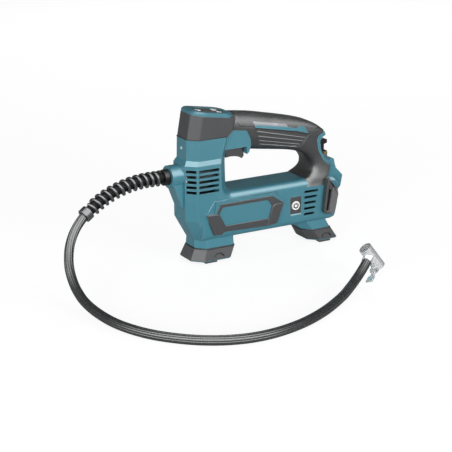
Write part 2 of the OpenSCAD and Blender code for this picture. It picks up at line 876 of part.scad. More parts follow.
// ---- power button ---------------------------------------------------------------------
power_x = rear_x - 67.2;
power_z = body_bottom + 24.2;
plate_thickness = 1;
plate_length = 14.5;
plate_height = 20;

module power_cut() {
    y_cylinder(-far, -half + wall + 1, power_diameter + 1, power_x, power_z);
    translate([power_x - plate_length / 2, -half - 1, power_z - plate_height / 2])
        cube([plate_length, 1 + plate_thickness, plate_height]);
}

module button_plate() {
    color(dark)
        difference() {
            translate([power_x - plate_length / 2 + 0.1, -half,
                       power_z - plate_height / 2 + 0.1])
                cube([plate_length - 0.2, plate_thickness, plate_height - 0.2]);
            y_cylinder(-far, 0, power_diameter + 2 * fit, power_x, power_z);
        }
}

module power_button() {
    color("#f2f2f0")
        y_cylinder(-half - power_travel, -half + wall + 0.6, power_diameter, power_x, power_z);
}

module button_board() {
    y = -half + wall + 0.6 + power_travel + 0.4;
    color(board)
        translate([power_x - 8, y, power_z - 9]) cube([16, 1.6, 18]);
}

// ---- badge frames ---------------------------------------------------------------------
badge_x0 = tower_x0 + 19.8;
badge_x1 = power_x - plate_length / 2 - 9.75;
badge_z = body_bottom + 24.5;
badge_proud = 2.6;
function badge_outer() = [[badge_x0, badge_z + 6.5], [badge_x0 + 12.5, badge_z + 6],
                          [badge_x0 + 17, badge_z + 16.2], [badge_x1 - 15, badge_z + 16.5],
                          [badge_x1, badge_z + 6], [badge_x1 - 9, badge_z - 16.5],
                          [badge_x1 - 22, badge_z - 17.4], [badge_x0 + 21.5, badge_z - 15.5],
                          [badge_x0 + 18.5, badge_z - 18.5], [badge_x0 + 9.5, badge_z - 18]];
function badge_window() = [[badge_x0 + 20, badge_z + 12.4], [badge_x1 - 20.5, badge_z + 12.5],
                           [badge_x1 - 15.5, badge_z + 5.4], [badge_x1 - 18.5, badge_z - 9],
                           [badge_x0 + 23.5, badge_z - 9], [badge_x0 + 15.5, badge_z + 5.4]];

// Raised pad of the housing round the badge frame
pad_proud = 1.4;
function badge_pad() = [[badge_x0 - 1, badge_z + 7], [badge_x0 + 10.6, badge_z + 6.6],
                        [badge_x0 + 13, badge_z + 19.6], [badge_x1 - 11.8, badge_z + 19.9],
                        [badge_x1 + 1, badge_z + 6.5], [badge_x1 - 10, badge_z - 15],
                        [badge_x0 + 9.6, badge_z - 15.5]];

module badge_pads() {
    for (m = [0, 1])
        mirror([0, m, 0]) y_span(-half - pad_proud, -half + wall) polygon(badge_pad());
}

module badge_at(side) {
    mirror([0, side > 0 ? 1 : 0, 0])
        y_span(-half - badge_proud, -half + 0.8)
            difference() {
                polygon(badge_outer());
                polygon(badge_window());
            }
}

module badge_recess() {
    badge_at(-1);
    badge_at(1);
}

module badge_frame_left() {
    color(dark) badge_at(-1);
}

module badge_frame_right() {
    color(dark) badge_at(1);
}

// ---- feet -----------------------------------------------------------------------------
module front_shoe() {
    color(dark)
        difference() {
            chamfer_loft(front_shoe_outer);
            chamfer_loft(inset_all([at_height(front_foot[0], shoe_z0 - eps),
                                    at_height(front_foot[0], shoe_z1 + eps)],
                                   shoe_thickness));
        }
}

module rear_shoe() {
    color(dark)
        difference() {
            chamfer_loft(rear_shoe_outer);
            chamfer_loft([rear_core_at(shoe_z0 - eps), rear_core_at(shoe_z1 + eps)]);
        }
}

pad_width = 8;
pad_xs = [front_foot_x0 + 8, rear_foot_x0 + rear_slope + 10];
pad_y = foot_width / 2 - pad_width - 0.5;

module foot_pads() {
    color(dark)
        for (x = pad_xs)
            for (side = [-1, 1])
                translate([x, side > 0 ? pad_y : -pad_y - pad_width, 0])
                    cube([pad_length, pad_width, pad_height]);
}

// ---- side holders at the rear ---------------------------------------------------------
holder_proud = 6.5;
function holder_outline() = [[rear_x - 29.2, 71.5], [rear_x - 32.6, 41.5], [rear_x - 32, 38],
                             [rear_x - 29, 35.8], [rear_x - 22.5, 34.4],
                             [rear_x - 18.5, 37.3], [rear_x - 14, 57.2],
                             [rear_x - 15.2, 63.7], [rear_x - 23.5, 72.7],
                             [rear_x - 24.8, 76.6], [rear_x - 28.5, 77]];
function slot_outline() = [[rear_x - 26.8, 65.5], [rear_x - 30, 41], [rear_x - 28.8, 38.6],
                           [rear_x - 27.4, 39.4], [rear_x - 23.8, 63.2]];

module holder_shape(y0, y1) {
    y_span(y0, y1) polygon(holder_outline());
}

module holder_recess() {
    for (m = [0, 1])
        mirror([0, m, 0]) holder_shape(-far, -half + 0.8);
}

module holder_at(side) {
    mirror([0, side > 0 ? 1 : 0, 0])
        difference() {
            holder_shape(-half - holder_proud, -half + 0.8);
            y_span(-far, -half - 0.8) polygon(slot_outline());
        }
}

module side_holder_left() {
    color(dark) holder_at(-1);
}

module side_holder_right() {
    color(dark) holder_at(1);
}

// ---- battery terminals ----------------------------------------------------------------
terminal_width = 20;
module terminal_outline() {
    polygon([[rear_x - 38, 121], [rear_x - 40, 112], [rear_x - 34, 99], [rear_x - 18, 99],
             [rear_x - 18, 104], [rear_x - 22, 106], [rear_x - 22, 112],
             [rear_x - 18, 113], [rear_x - 18, 117], [rear_x - 26, 119], [rear_x - 26, 123]]);
}

module terminal_cut() {
    y_prism(terminal_width) terminal_outline();
}

blade_ys = [-6, 0, 6];
blade_width = 1;
module blade_outline(grow) {
    translate([rear_x - 36, 107 - grow]) square([16 + grow, 4 + 2 * grow]);
}

module terminal_block() {
    color(black)
        difference() {
            y_prism(terminal_width - 2 * fit) terminal_outline();
            for (y = blade_ys) y_span(y - blade_width / 2, y + blade_width / 2) blade_outline(0);
        }
}

module battery_contacts() {
    color(brass)
        for (y = blade_ys) y_span(y - blade_width / 2, y + blade_width / 2) blade_outline(0);
}

// ---- drive ----------------------------------------------------------------------------
pinion_radius = gear_module * pinion_teeth / 2;
gear_radius = gear_module * gear_teeth / 2;
centre_distance = pinion_radius + gear_radius;
motor_z = body_top - wall - motor_diameter / 2 - 1;
gear_z = motor_z - centre_distance;
rod_x = tower_mid - 0.5;                        // plane of the crank and the cylinder
rod_thickness = 6;
gear_x0 = rod_x + rod_thickness / 2 + 1.3;
gear_x1 = gear_x0 + gear_face;
frame_x0 = gear_x1 + 1.5;
frame_x1 = frame_x0 + 6;
motor_x0 = frame_x1;
motor_x1 = motor_x0 + motor_length;
fan_x0 = motor_x1 + 3;
fan_width = 9;
shaft_diameter = 4;
hub_diameter = 8;
bearing_diameter = 12;

// Outline of a gear with straight-sided teeth, with a tooth or a gap on its +Y axis
function gear_point(r, a) = [r * sin(a), r * cos(a)];
function gear_outline(teeth, phase) = let (p = 360 / teeth, r = gear_module * teeth / 2)
    [for (i = [0:teeth - 1]) let (a = i * p + phase)
        each [gear_point(r - gear_module * 1.1, a - p * 0.3),
              gear_point(r + gear_module * 0.8, a - p * 0.09),
              gear_point(r + gear_module * 0.8, a + p * 0.09),
              gear_point(r - gear_module * 1.1, a + p * 0.3)]];

module motor_pinion() {
    color(steel)
        difference() {
            translate([0, 0, motor_z])
                x_prism(gear_x0, gear_x1) polygon(gear_outline(pinion_teeth, 180));
            x_cylinder(gear_x0 - 1, gear_x1 + 1, shaft_diameter, 0, motor_z);
        }
}

module drive_gear() {
    color(steel) {
        translate([0, 0, gear_z])
            x_prism(gear_x0, gear_x1)
                polygon(gear_outline(gear_teeth, 180 / gear_teeth));
        x_cylinder(gear_x1 - eps, frame_x0 + 0.5, hub_diameter + 2, 0, gear_z);
        x_cylinder(gear_x1 - eps, frame_x1 - 0.5, hub_diameter, 0, gear_z);
    }
}

module gear_bearing() {
    color(steel)
        difference() {
            x_cylinder(frame_x0 + 1, frame_x1 - 0.3, bearing_diameter, 0, gear_z);
            x_cylinder(frame_x0, frame_x1, hub_diameter + 2 * running, 0, gear_z);
        }
}

module motor() {
    color("#8d9094")
        difference() {
            union() {
                x_cylinder(motor_x0, motor_x1, motor_diameter, 0, motor_z);
                x_cylinder(motor_x0 - 2, motor_x0 + eps, 10, 0, motor_z);
            }
            x_cylinder(motor_x0 - 3, motor_x1 + 1, shaft_diameter + 2 * running, 0, motor_z);
        }
}

module motor_shaft() {
    color(steel) x_cylinder(gear_x0, fan_x0 + fan_width + 1, shaft_diameter, 0, motor_z);
}

fan_blades = 9;
fan_diameter = motor_diameter;
module fan() {
    color(black)
        difference() {
            union() {
                x_cylinder(fan_x0, fan_x0 + 1.5, fan_diameter, 0, motor_z);
                x_cylinder(fan_x0, fan_x0 + fan_width, 10, 0, motor_z);
                for (i = [0:fan_blades - 1])
                    translate([fan_x0, 0, motor_z])
                        rotate([i * 360 / fan_blades, 0, 0])
                            translate([0, -0.6, 3])
                                cube([fan_width, 1.2, fan_diameter / 2 - 3.4]);
            }
            x_cylinder(fan_x0 - 1, fan_x0 + fan_width + 1, shaft_diameter, 0, motor_z);
        }
}

// Ring ribs of the housing that hold the motor
cradle_rib = 3;
module motor_cradle() {
    for (x = [motor_x0 + 12, motor_x1 - 14])
        difference() {
            x_prism(x, x + cradle_rib)
                round_rect([-half + wall / 2, body_bottom + wall / 2],
                           [half - wall / 2, body_top - wall / 2], body_edge - wall / 2);
            x_cylinder(x - 1, x + cradle_rib + 1, motor_diameter + 2 * fit, 0, motor_z);
        }
}

cylinder_outer = cylinder_bore + 2 * cylinder_wall;
piston_height = 5;
head_half = 5;                                  // half the height of the cylinder head
cylinder_z1 = hose_height - head_half;
head_z1 = hose_height + head_half;
piston_z = cylinder_z1 - 1.5 - piston_height / 2;    // the top of its stroke, at rest
pin_z = gear_z + crank_radius;
rod_length = piston_z - pin_z;
cylinder_z0 = piston_z - 2 * crank_radius - 3;
frame_half = half - wall - 1.6;
frame_z0 = gear_z - 9;
frame_z1 = cylinder_z0;                         // it reaches the shelf under the cylinder

// Die-cast frame that carries the gear bearing, the motor and the cylinder
module gear_frame() {
    color("#a3a6a8")
        difference() {
            union() {
                x_prism(frame_x0, frame_x1)
                    round_rect([-frame_half, frame_z0], [frame_half, frame_z1], 4);
                translate([rod_x - cylinder_outer / 2 - 1, -cylinder_outer / 2,
                           cylinder_z0 - 4])
                    cube([frame_x1 - rod_x + cylinder_outer / 2 + 1, cylinder_outer, 4]);
            }
            x_cylinder(frame_x0 - 1, frame_x1 + 1, bearing_diameter, 0, gear_z);
            x_cylinder(frame_x0 - 1, frame_x1 + 1, 2 * pinion_radius + 4, 0, motor_z);
            translate([rod_x, 0, 0]) cylinder(h = far, d = cylinder_bore + 0.6, $fn = 64);
            x_prism(gear_x0 - 2, frame_x0) round_rect([-gear_radius - 2, 0],
                                                      [gear_radius + 2, motor_z + 7], 2);
        }
}

// Ribs at both sides of the housing, with a groove that the frame drops into
rib_y = 17.5;
module frame_ribs() {
    for (m = [0, 1])
        mirror([0, m, 0])
            translate([frame_x0 - 2, rib_y, gear_z - 2])
                cube([frame_x1 - frame_x0 + 4, half - wall / 2 - rib_y,
                      motor_z + 8 - gear_z]);
}

module frame_recess() {
    x_prism(frame_x0 - fit, frame_x1 + fit)
        round_rect([-frame_half - fit, frame_z0 - fit], [frame_half + fit, frame_z1 + fit],
                   4);
}

rod_width = 9;
big_end = 13;
pin_diameter = 5;

module piston_rod() {
    color("#c9ccd0")
        difference() {
            union() {
                x_cylinder(rod_x - rod_thickness / 2, rod_x + rod_thickness / 2, big_end, 0,
                           pin_z);
                translate([rod_x - rod_thickness / 2, -rod_width / 2, pin_z])
                    cube([rod_thickness, rod_width, rod_length]);
                translate([rod_x, 0, piston_z - piston_height / 2])
                    cylinder(h = piston_height, d = cylinder_bore - 2.4, $fn = 64);
            }
            x_cylinder(rod_x - rod_thickness, rod_x + rod_thickness, pin_diameter, 0, pin_z);
            translate([rod_x, 0, piston_z - 1])
                difference() {
                    cylinder(h = 2, d = cylinder_bore, $fn = 64);
                    translate([0, 0, -1]) cylinder(h = 4, d = cylinder_bore - 5, $fn = 64);
                }
        }
}

module piston_seal() {
    color(black)
        translate([rod_x, 0, piston_z - 1])
            difference() {
                cylinder(h = 2, d = cylinder_bore - 2 * running, $fn = 64);
                translate([0, 0, -1]) cylinder(h = 4, d = cylinder_bore - 5, $fn = 64);
            }
}

// The pin rides in the rod and stops short of the gear's face
module crank_pin() {
    color(steel)
        x_cylinder(rod_x - rod_thickness / 2 - 0.6, gear_x0 - 0.3, pin_diameter, 0, pin_z);
}

module pump_cylinder() {
    color("#b4b7ba") difference() {
        translate([rod_x, 0, cylinder_z0])
            cylinder(h = cylinder_z1 - cylinder_z0, d = cylinder_outer, $fn = 64);
        translate([rod_x, 0, cylinder_z0 - 1])
            cylinder(h = cylinder_z1 - cylinder_z0 + 2, d = cylinder_bore, $fn = 64);
    }
}

module cylinder_head() {
    color("#a3a6a8")
        difference() {
            translate([rod_x - cylinder_outer / 2, -cylinder_outer / 2, cylinder_z1])
                cube([cylinder_outer, cylinder_outer, 2 * head_half]);
            x_cylinder(rod_x - far, rod_x, tube_diameter - 2, 0, hose_height);
            translate([rod_x, 0, cylinder_z1 - 1])
                cylinder(h = head_half + 1, d = 6, $fn = 32);
        }
}

// Air tube from the cylinder head to the hose fitting
module outlet_tube() {
    color("#d9d9d6")
        difference() {
            x_cylinder(nut_x1 - 5, rod_x - cylinder_outer / 2, tube_diameter, 0, hose_height);
            x_cylinder(nut_x1 - 6, rod_x, tube_diameter - 2.4, 0, hose_height);
        }
}

board_z = head_z1 + 6;
board_half = 14;
board_x0 = rod_x - 13;
board_x1 = rod_x + 17;
board_thickness = 1.6;

module board_box(grow) {
    translate([board_x0 - grow, -board_half - grow, board_z - grow])
        cube([board_x1 - board_x0 + 2 * grow, 2 * (board_half + grow),
              board_thickness + 2 * grow]);
}

// Ledges at both sides of the tower, with a groove for the board
module board_ledges() {
    for (m = [0, 1])
        mirror([0, m, 0])
            translate([board_x0 + 4, board_half - 1.5, board_z - 1.5])
                cube([board_x1 - board_x0 - 8, half - wall / 2 - board_half + 1.5,
                      board_thickness + 3]);
}

module board_slot() {
    board_box(fit / 2);
}

module control_board() {
    color(board) {
        board_box(0);
        translate([board_x0 + 4, -8, board_z + board_thickness - eps]) cube([8, 14, 5]);
        translate([board_x0 + 16, 4, board_z + board_thickness - eps])
            cylinder(h = 9, d = 7, $fn = 32);
    }
}

module pressure_sensor() {
    color(black)
        translate([board_x0 + 16, -8, board_z + board_thickness]) {
            cube([8, 8, 3.5]);
            translate([4, 4, 3.5 - eps]) cylinder(h = 3, d = 3, $fn = 24);
        }
}

// ---- screws ---------------------------------------------------------------------------
module housing_screws() {
    color(steel)
        for (p = screw_places())
            difference() {
                union() {
                    y_cylinder(screw_seat, screw_seat + 2.4, screw_head, p[0], p[1]);
                    y_cylinder(screw_tip(p), screw_seat + eps, screw_shank, p[0], p[1]);
                }
                y_cylinder(screw_seat + 1, screw_seat + 3, 2.4, p[0], p[1]);
            }
}

// ---- hose and bend guard --------------------------------------------------------------
// Middle line of the hose from the outlet to the chuck, laid on the floor in one sweep
hose_rest = 5.2;
route = [[front_x, 0, hose_height], [-121, 0, hose_height], [-135, 0, 99],
         [-150, 0, 97.5], [-165, 0, 94], [-179.5, 0, 88.5], [-193, -1, 81.5],
         [-206, -3, 73.5], [-216, -6, 65.5], [-224.5, -10.5, 57], [-232, -17.5, 47.5],
         [-237.5, -26, 38.5], [-241.5, -36, 30], [-244, -48.5, 21.5], [-245.5, -63, 14.5],
         [-246, -82.5, 9], [-244.5, -107, 6], [-241, -136, hose_rest],
         [-233.5, -162, hose_rest], [-221.5, -185.5, hose_rest], [-204.5, -206, hose_rest],
         [-186.5, -221, hose_rest], [-165.5, -232, hose_rest], [-141.5, -238, hose_rest],
         [-113.5, -237.5, hose_rest], [-80.5, -229.5, hose_rest], [-46.5, -214, hose_rest],
         [-11.5, -191.5, hose_rest], [12.5, -173.5, 6.8], [26.5, -164.5, 11],
         [37, -158.5, 16], [47, -153, 22]];
route_last = len(route) - 1;

// Smooth curve through the route; u counts the route's points
function route_at(i) = route[max(0, min(route_last, i))];
function curve4(a, b, c, d, t) = 0.5 * (2 * b + (c - a) * t + (2 * a - 5 * b + 4 * c - d) * t * t
                                        + (3 * b - a - 3 * c + d) * t * t * t);
function along(u) = let (i = min(route_last - 1, floor(u)))
    curve4(i == 0 ? 2 * route[0] - route[1] : route_at(i - 1), route_at(i), route_at(i + 1),
           i == route_last - 1 ? 2 * route[route_last] - route[route_last - 1]
                               : route_at(i + 2), u - i);
function unit(v) = v / norm(v);
step = 0.02;
function heading(u) = unit(along(min(route_last, u + step)) - along(max(0, u - step)));
function across(t) = unit(cross(t, [0, 0, 1]));
function tube_ring(c, t, d, sides) = let (a = across(t), b = cross(a, t))
    [for (k = [0:sides - 1]) c + d / 2 * (cos(360 * k / sides) * a - sin(360 * k / sides) * b)];

hose_sides = 10;
hose_rings = 64;
hose_start = 8;                                 // length of hose inside the outlet

module hose() {
    color("#39393b")
        skin(concat([tube_ring([front_x + hose_start, 0, hose_height], heading(0),
                               hose_diameter, hose_sides)],
                    [for (i = [0:hose_rings])
                        let (u = route_last * i / hose_rings)
                        tube_ring(along(u), heading(u), hose_diameter, hose_sides)]));
}

collar_length = 6.5;
module guard_collar() {
    color(black)
        difference() {
            x_cylinder(front_x - collar_length, front_x + 2, collar_diameter, 0, hose_height);
            x_cylinder(front_x - collar_length - 1, front_x + 3, hose_diameter + 0.1, 0,
                       hose_height);
        }
}

// The bend guard: one wire wound round the hose, straight for its diameter at both ends
guard_u0 = collar_length / 13;
guard_u1 = 6.72;
guard_radius = hose_diameter / 2 + 0.4 + guard_wire / 2;
guard_sides = 6;
rings_per_curl = 8;
guard_rings = guard_curls * rings_per_curl;
lead = guard_wire / 14.5;                       // straight end, in route steps

function guard_angle(i) = 90 - 360 * i / rings_per_curl;
function on_guard(u, angle) = let (t = heading(u), a = across(t), b = cross(a, t))
    along(u) + guard_radius * (cos(angle) * a + sin(angle) * b);
function guard_u(i) = guard_u0 + lead + (guard_u1 - guard_u0 - 2 * lead) * i / guard_rings;
function guard_point(i) = on_guard(guard_u(i), guard_angle(i));
function guard_tangent(i) = unit(guard_point(min(guard_rings, i + 1))
                                 - guard_point(max(0, i - 1)));
function wire_ring(c, t, radial) = let (r = unit(radial - (radial * t) * t), b = cross(t, r))
    [for (k = [0:guard_sides - 1])
        c + guard_wire / 2 * (cos(360 * k / guard_sides) * r + sin(360 * k / guard_sides) * b)];
function guard_end(u, i) = let (c = on_guard(u, guard_angle(i)))
    wire_ring(c, heading(u), c - along(u));

guard_points = [for (i = [0:guard_rings]) guard_point(i)];
guard_gap = min([for (i = [0:guard_rings - rings_per_curl])
                 for (k = [-2:2])
                 let (j = min(guard_rings, i + rings_per_curl + k))
                 norm(guard_points[i] - guard_points[j])]) - guard_wire;
echo(guard_gap = guard_gap);

module guard_spring() {
    color("#55565a")
        skin(concat([guard_end(guard_u0, 0)],
                    [for (i = [0:guard_rings])
                        wire_ring(guard_points[i], guard_tangent(i),
                                  guard_points[i] - along(guard_u(i)))],
                    [guard_end(guard_u1, guard_rings)]));
}

// Turns +X onto a direction
module aim(c, t) {
    translate(c)
        rotate([0, 0, atan2(t[1], t[0])])
            rotate([0, -asin(t[2]), 0])
                children();
}

ferrule_length = 8;
ferrule_diameter = 2 * guard_radius + guard_wire - 1.6;
module guard_ferrule() {
    color("#6b6c70")
        aim(along(guard_u1), heading(guard_u1))
            difference() {
                x_cylinder(0, ferrule_length, ferrule_diameter);
                x_cylinder(-1, ferrule_length + 1, hose_diameter + 0.8);
            }
}

// ---- chuck ----------------------------------------------------------------------------
// Its own frame: +X goes on from the hose, the barrel lies along Y, the lever's pin along Z
chuck_roll = 66;
stub_length = 4;
stub_diameter = 12;
barrel_x = stub_length + barrel_diameter / 2 - 1;
barrel_y0 = -barrel_length * 0.6;
barrel_y1 = barrel_length * 0.4;
pivot_x = barrel_x - barrel_diameter / 2 - 2.6;
pivot_y = barrel_y0 + 3;
ear_gap = 5;
ear_thickness = 1.4;
lever_pin_diameter = 2;

seal_diameter = valve_bore + 1.6;
seal_y0 = barrel_y1 - valve_depth - 4;

module on_chuck() {
    aim(route[route_last], heading(route_last)) rotate([chuck_roll, 0, 0]) children();
}

module barrel_cylinder(y0, y1, d) {
    translate([barrel_x, y0, 0]) rotate([-90, 0, 0]) cylinder(h = y1 - y0, d = d, $fn = 64);
}

module chuck_body() {
    color("#d5d8dc")
        on_chuck()
            difference() {
                union() {
                    barrel_cylinder(barrel_y0, barrel_y1, barrel_diameter);
                    x_cylinder(0, barrel_x, stub_diameter);
                    for (m = [0, 1])
                        mirror([0, 0, m])
                            translate([0, 0, ear_gap / 2])
                                linear_extrude(ear_thickness)
                                    hull() {
                                        translate([pivot_x, pivot_y]) circle(r = 2.4, $fn = 32);
                                        translate([barrel_x - 2, pivot_y]) circle(r = 2.4,
                                                                                  $fn = 32);
                                    }
                }
                barrel_cylinder(barrel_y1 - valve_depth, barrel_y1 + 1, valve_bore);
                barrel_cylinder(seal_y0, barrel_y1 - valve_depth + eps, seal_diameter);
                x_cylinder(-1, barrel_x, 4);
                translate([pivot_x, pivot_y, -10])
                    cylinder(h = 20, d = lever_pin_diameter, $fn = 32);
            }
}

module chuck_seal() {
    color(black)
        on_chuck()
            difference() {
                barrel_cylinder(seal_y0, barrel_y1 - valve_depth, seal_diameter);
                barrel_cylinder(seal_y0 - 1, barrel_y1, 5);
            }
}

lever_thickness = 1.6;
module chuck_lever() {
    color("#c4c8cc")
        on_chuck()
            difference() {
                union() {
                    translate([pivot_x, pivot_y, -ear_gap / 2 + 0.2])
                        cylinder(h = ear_gap - 0.4, d = 4.4, $fn = 48);
                    translate([pivot_x - lever_length, pivot_y - 2.2, -ear_gap / 2 + 0.2])
                        cube([lever_length, lever_thickness, ear_gap - 0.4]);
                    translate([pivot_x - lever_length, pivot_y - 2.2, -4.5])
                        cube([8, lever_thickness, 9]);
                }
                translate([pivot_x, pivot_y, -10])
                    cylinder(h = 20, d = lever_pin_diameter + 2 * running, $fn = 32);
            }
}

module lever_pin() {
    color(steel)
        on_chuck()
            translate([pivot_x, pivot_y, -ear_gap / 2 - ear_thickness])
                cylinder(h = ear_gap + 2 * ear_thickness, d = lever_pin_diameter, $fn = 32);
}

housing_left();
housing_right();
display_cap();
display_bezel();
display_window();
display_board();
plus_key();
minus_key();
mode_key();
tower_lamp_lens();
grip_left();
grip_right();
grip_inlay_left();
grip_inlay_right();
grip_accent_left();
grip_accent_right();
trigger();
trigger_switch();
button_plate();
power_button();
button_board();
badge_frame_left();
badge_frame_right();
front_shoe();
rear_shoe();
foot_pads();
side_holder_left();
side_holder_right();
terminal_block();
battery_contacts();
motor();
motor_shaft();
fan();
motor_pinion();
drive_gear();
gear_bearing();
gear_frame();
crank_pin();
piston_rod();
piston_seal();
pump_cylinder();
cylinder_head();
outlet_tube();
pressure_sensor();
control_board();
housing_screws();
hose_nut();
guard_collar();
guard_spring();
guard_ferrule();
hose();
chuck_body();
chuck_seal();
chuck_lever();
lever_pin();
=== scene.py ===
"""Dresses the portable tyre inflator: moulded shells, soft grip, display, air hose and studio.

Lengths in the classes are millimetres, as the drawing gives them; meshes are metres.
"""

from __future__ import annotations

import json
import logging
import math
from dataclasses import dataclass
from enum import Enum
from functools import partial
from typing import Callable, Iterable, Sequence

import bmesh
import bpy
from mathutils import Matrix, Vector
from mathutils.bvhtree import BVHTree

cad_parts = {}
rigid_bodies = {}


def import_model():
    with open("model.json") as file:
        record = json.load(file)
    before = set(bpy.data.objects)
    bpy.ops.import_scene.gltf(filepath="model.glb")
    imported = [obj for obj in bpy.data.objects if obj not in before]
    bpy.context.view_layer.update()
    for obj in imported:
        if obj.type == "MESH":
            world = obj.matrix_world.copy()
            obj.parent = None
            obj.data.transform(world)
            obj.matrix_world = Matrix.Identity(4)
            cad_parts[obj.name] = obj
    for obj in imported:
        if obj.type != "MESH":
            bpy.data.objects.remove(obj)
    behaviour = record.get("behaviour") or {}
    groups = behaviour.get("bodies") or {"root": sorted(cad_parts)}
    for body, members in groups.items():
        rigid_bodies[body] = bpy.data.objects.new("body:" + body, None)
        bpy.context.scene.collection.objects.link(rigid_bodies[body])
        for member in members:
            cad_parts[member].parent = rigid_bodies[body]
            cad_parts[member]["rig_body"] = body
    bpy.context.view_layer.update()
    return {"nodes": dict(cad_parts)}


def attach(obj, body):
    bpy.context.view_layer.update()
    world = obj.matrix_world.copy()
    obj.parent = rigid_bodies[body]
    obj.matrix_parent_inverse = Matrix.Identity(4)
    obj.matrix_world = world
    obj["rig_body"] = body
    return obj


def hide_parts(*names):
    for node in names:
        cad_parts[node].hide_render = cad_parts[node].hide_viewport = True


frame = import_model()
LOG = logging.getLogger("inflator")
MM = 0.001
OUTSIDE_MM = 100  # farther from the middle plane than any part of the body
MISSED_MM = 20  # where a point is set when the surface isn't met
BEAD_STEP_MM = 1.5
Point = tuple[float, float]
Outline = Sequence[Point]
Socket = bpy.types.NodeSocket
Adder = Callable[..., bpy.types.Node]
MATERIALS: dict[str, bpy.types.Material] = {}


class Side(Enum):
    """The two sides of the tool. The value is the sign of Y."""

    LEFT = -1
    RIGHT = 1

    @property
    def word(self) -> str:
        """Name of the side as node names spell it."""
        return self.name.lower()


# ---- shader nodes -----------------------------------------------------------------------
def linear(hex_colour: str) -> tuple[float, float, float, float]:
    """Turns an sRGB hex colour into the linear RGBA that shader sockets take.

    Args:
        hex_colour: Colour such as "#3f8fa5".

    Returns:
        Linear red, green, blue and an alpha of 1.
    """
    text = hex_colour.lstrip("#")
    values = [int(text[i : i + 2], 16) / 255 for i in (0, 2, 4)]
    return (*[v / 12.92 if v <= 0.04045 else ((v + 0.055) / 1.055) ** 2.4 for v in values], 1.0)


def add_node(
    tree: bpy.types.NodeTree, kind: str, inputs: dict | None = None, **settings: object
) -> bpy.types.Node:
    """Adds a shader node, sets its properties and sockets, and links its inputs.

    Args:
        tree: Node tree to add to.
        kind: Node type without its "ShaderNode", such as "Bump".
        inputs: Input name or index to the socket that feeds it, to the node whose first
            output does, or to a plain value.
        settings: Property names, or input names with blanks as underscores, to values.

    Returns:
        The new node.
    """
    node = tree.nodes.new("ShaderNode" + kind)
    for key, value in settings.items():
        if hasattr(node, key):
            setattr(node, key, value)
        else:
            node.inputs[key.replace("_", " ")].default_value = value
    for key, feed in (inputs or {}).items():
        if isinstance(feed, bpy.types.Node):
            feed = feed.outputs[0]
        if isinstance(feed, Socket):
            tree.links.new(feed, node.inputs[key])
        else:
            node.inputs[key].default_value = feed
    return node


def new_material(name: str) -> tuple[bpy.types.Material, Adder]:
    """Makes an empty node material.

    Args:
        name: Name of the material.

    Returns:
        The material, and add_node bound to its tree.
    """
    material = bpy.data.materials.new(name)
    material.use_nodes = True
    material.node_tree.nodes.clear()
    return material, partial(add_node, material.node_tree)


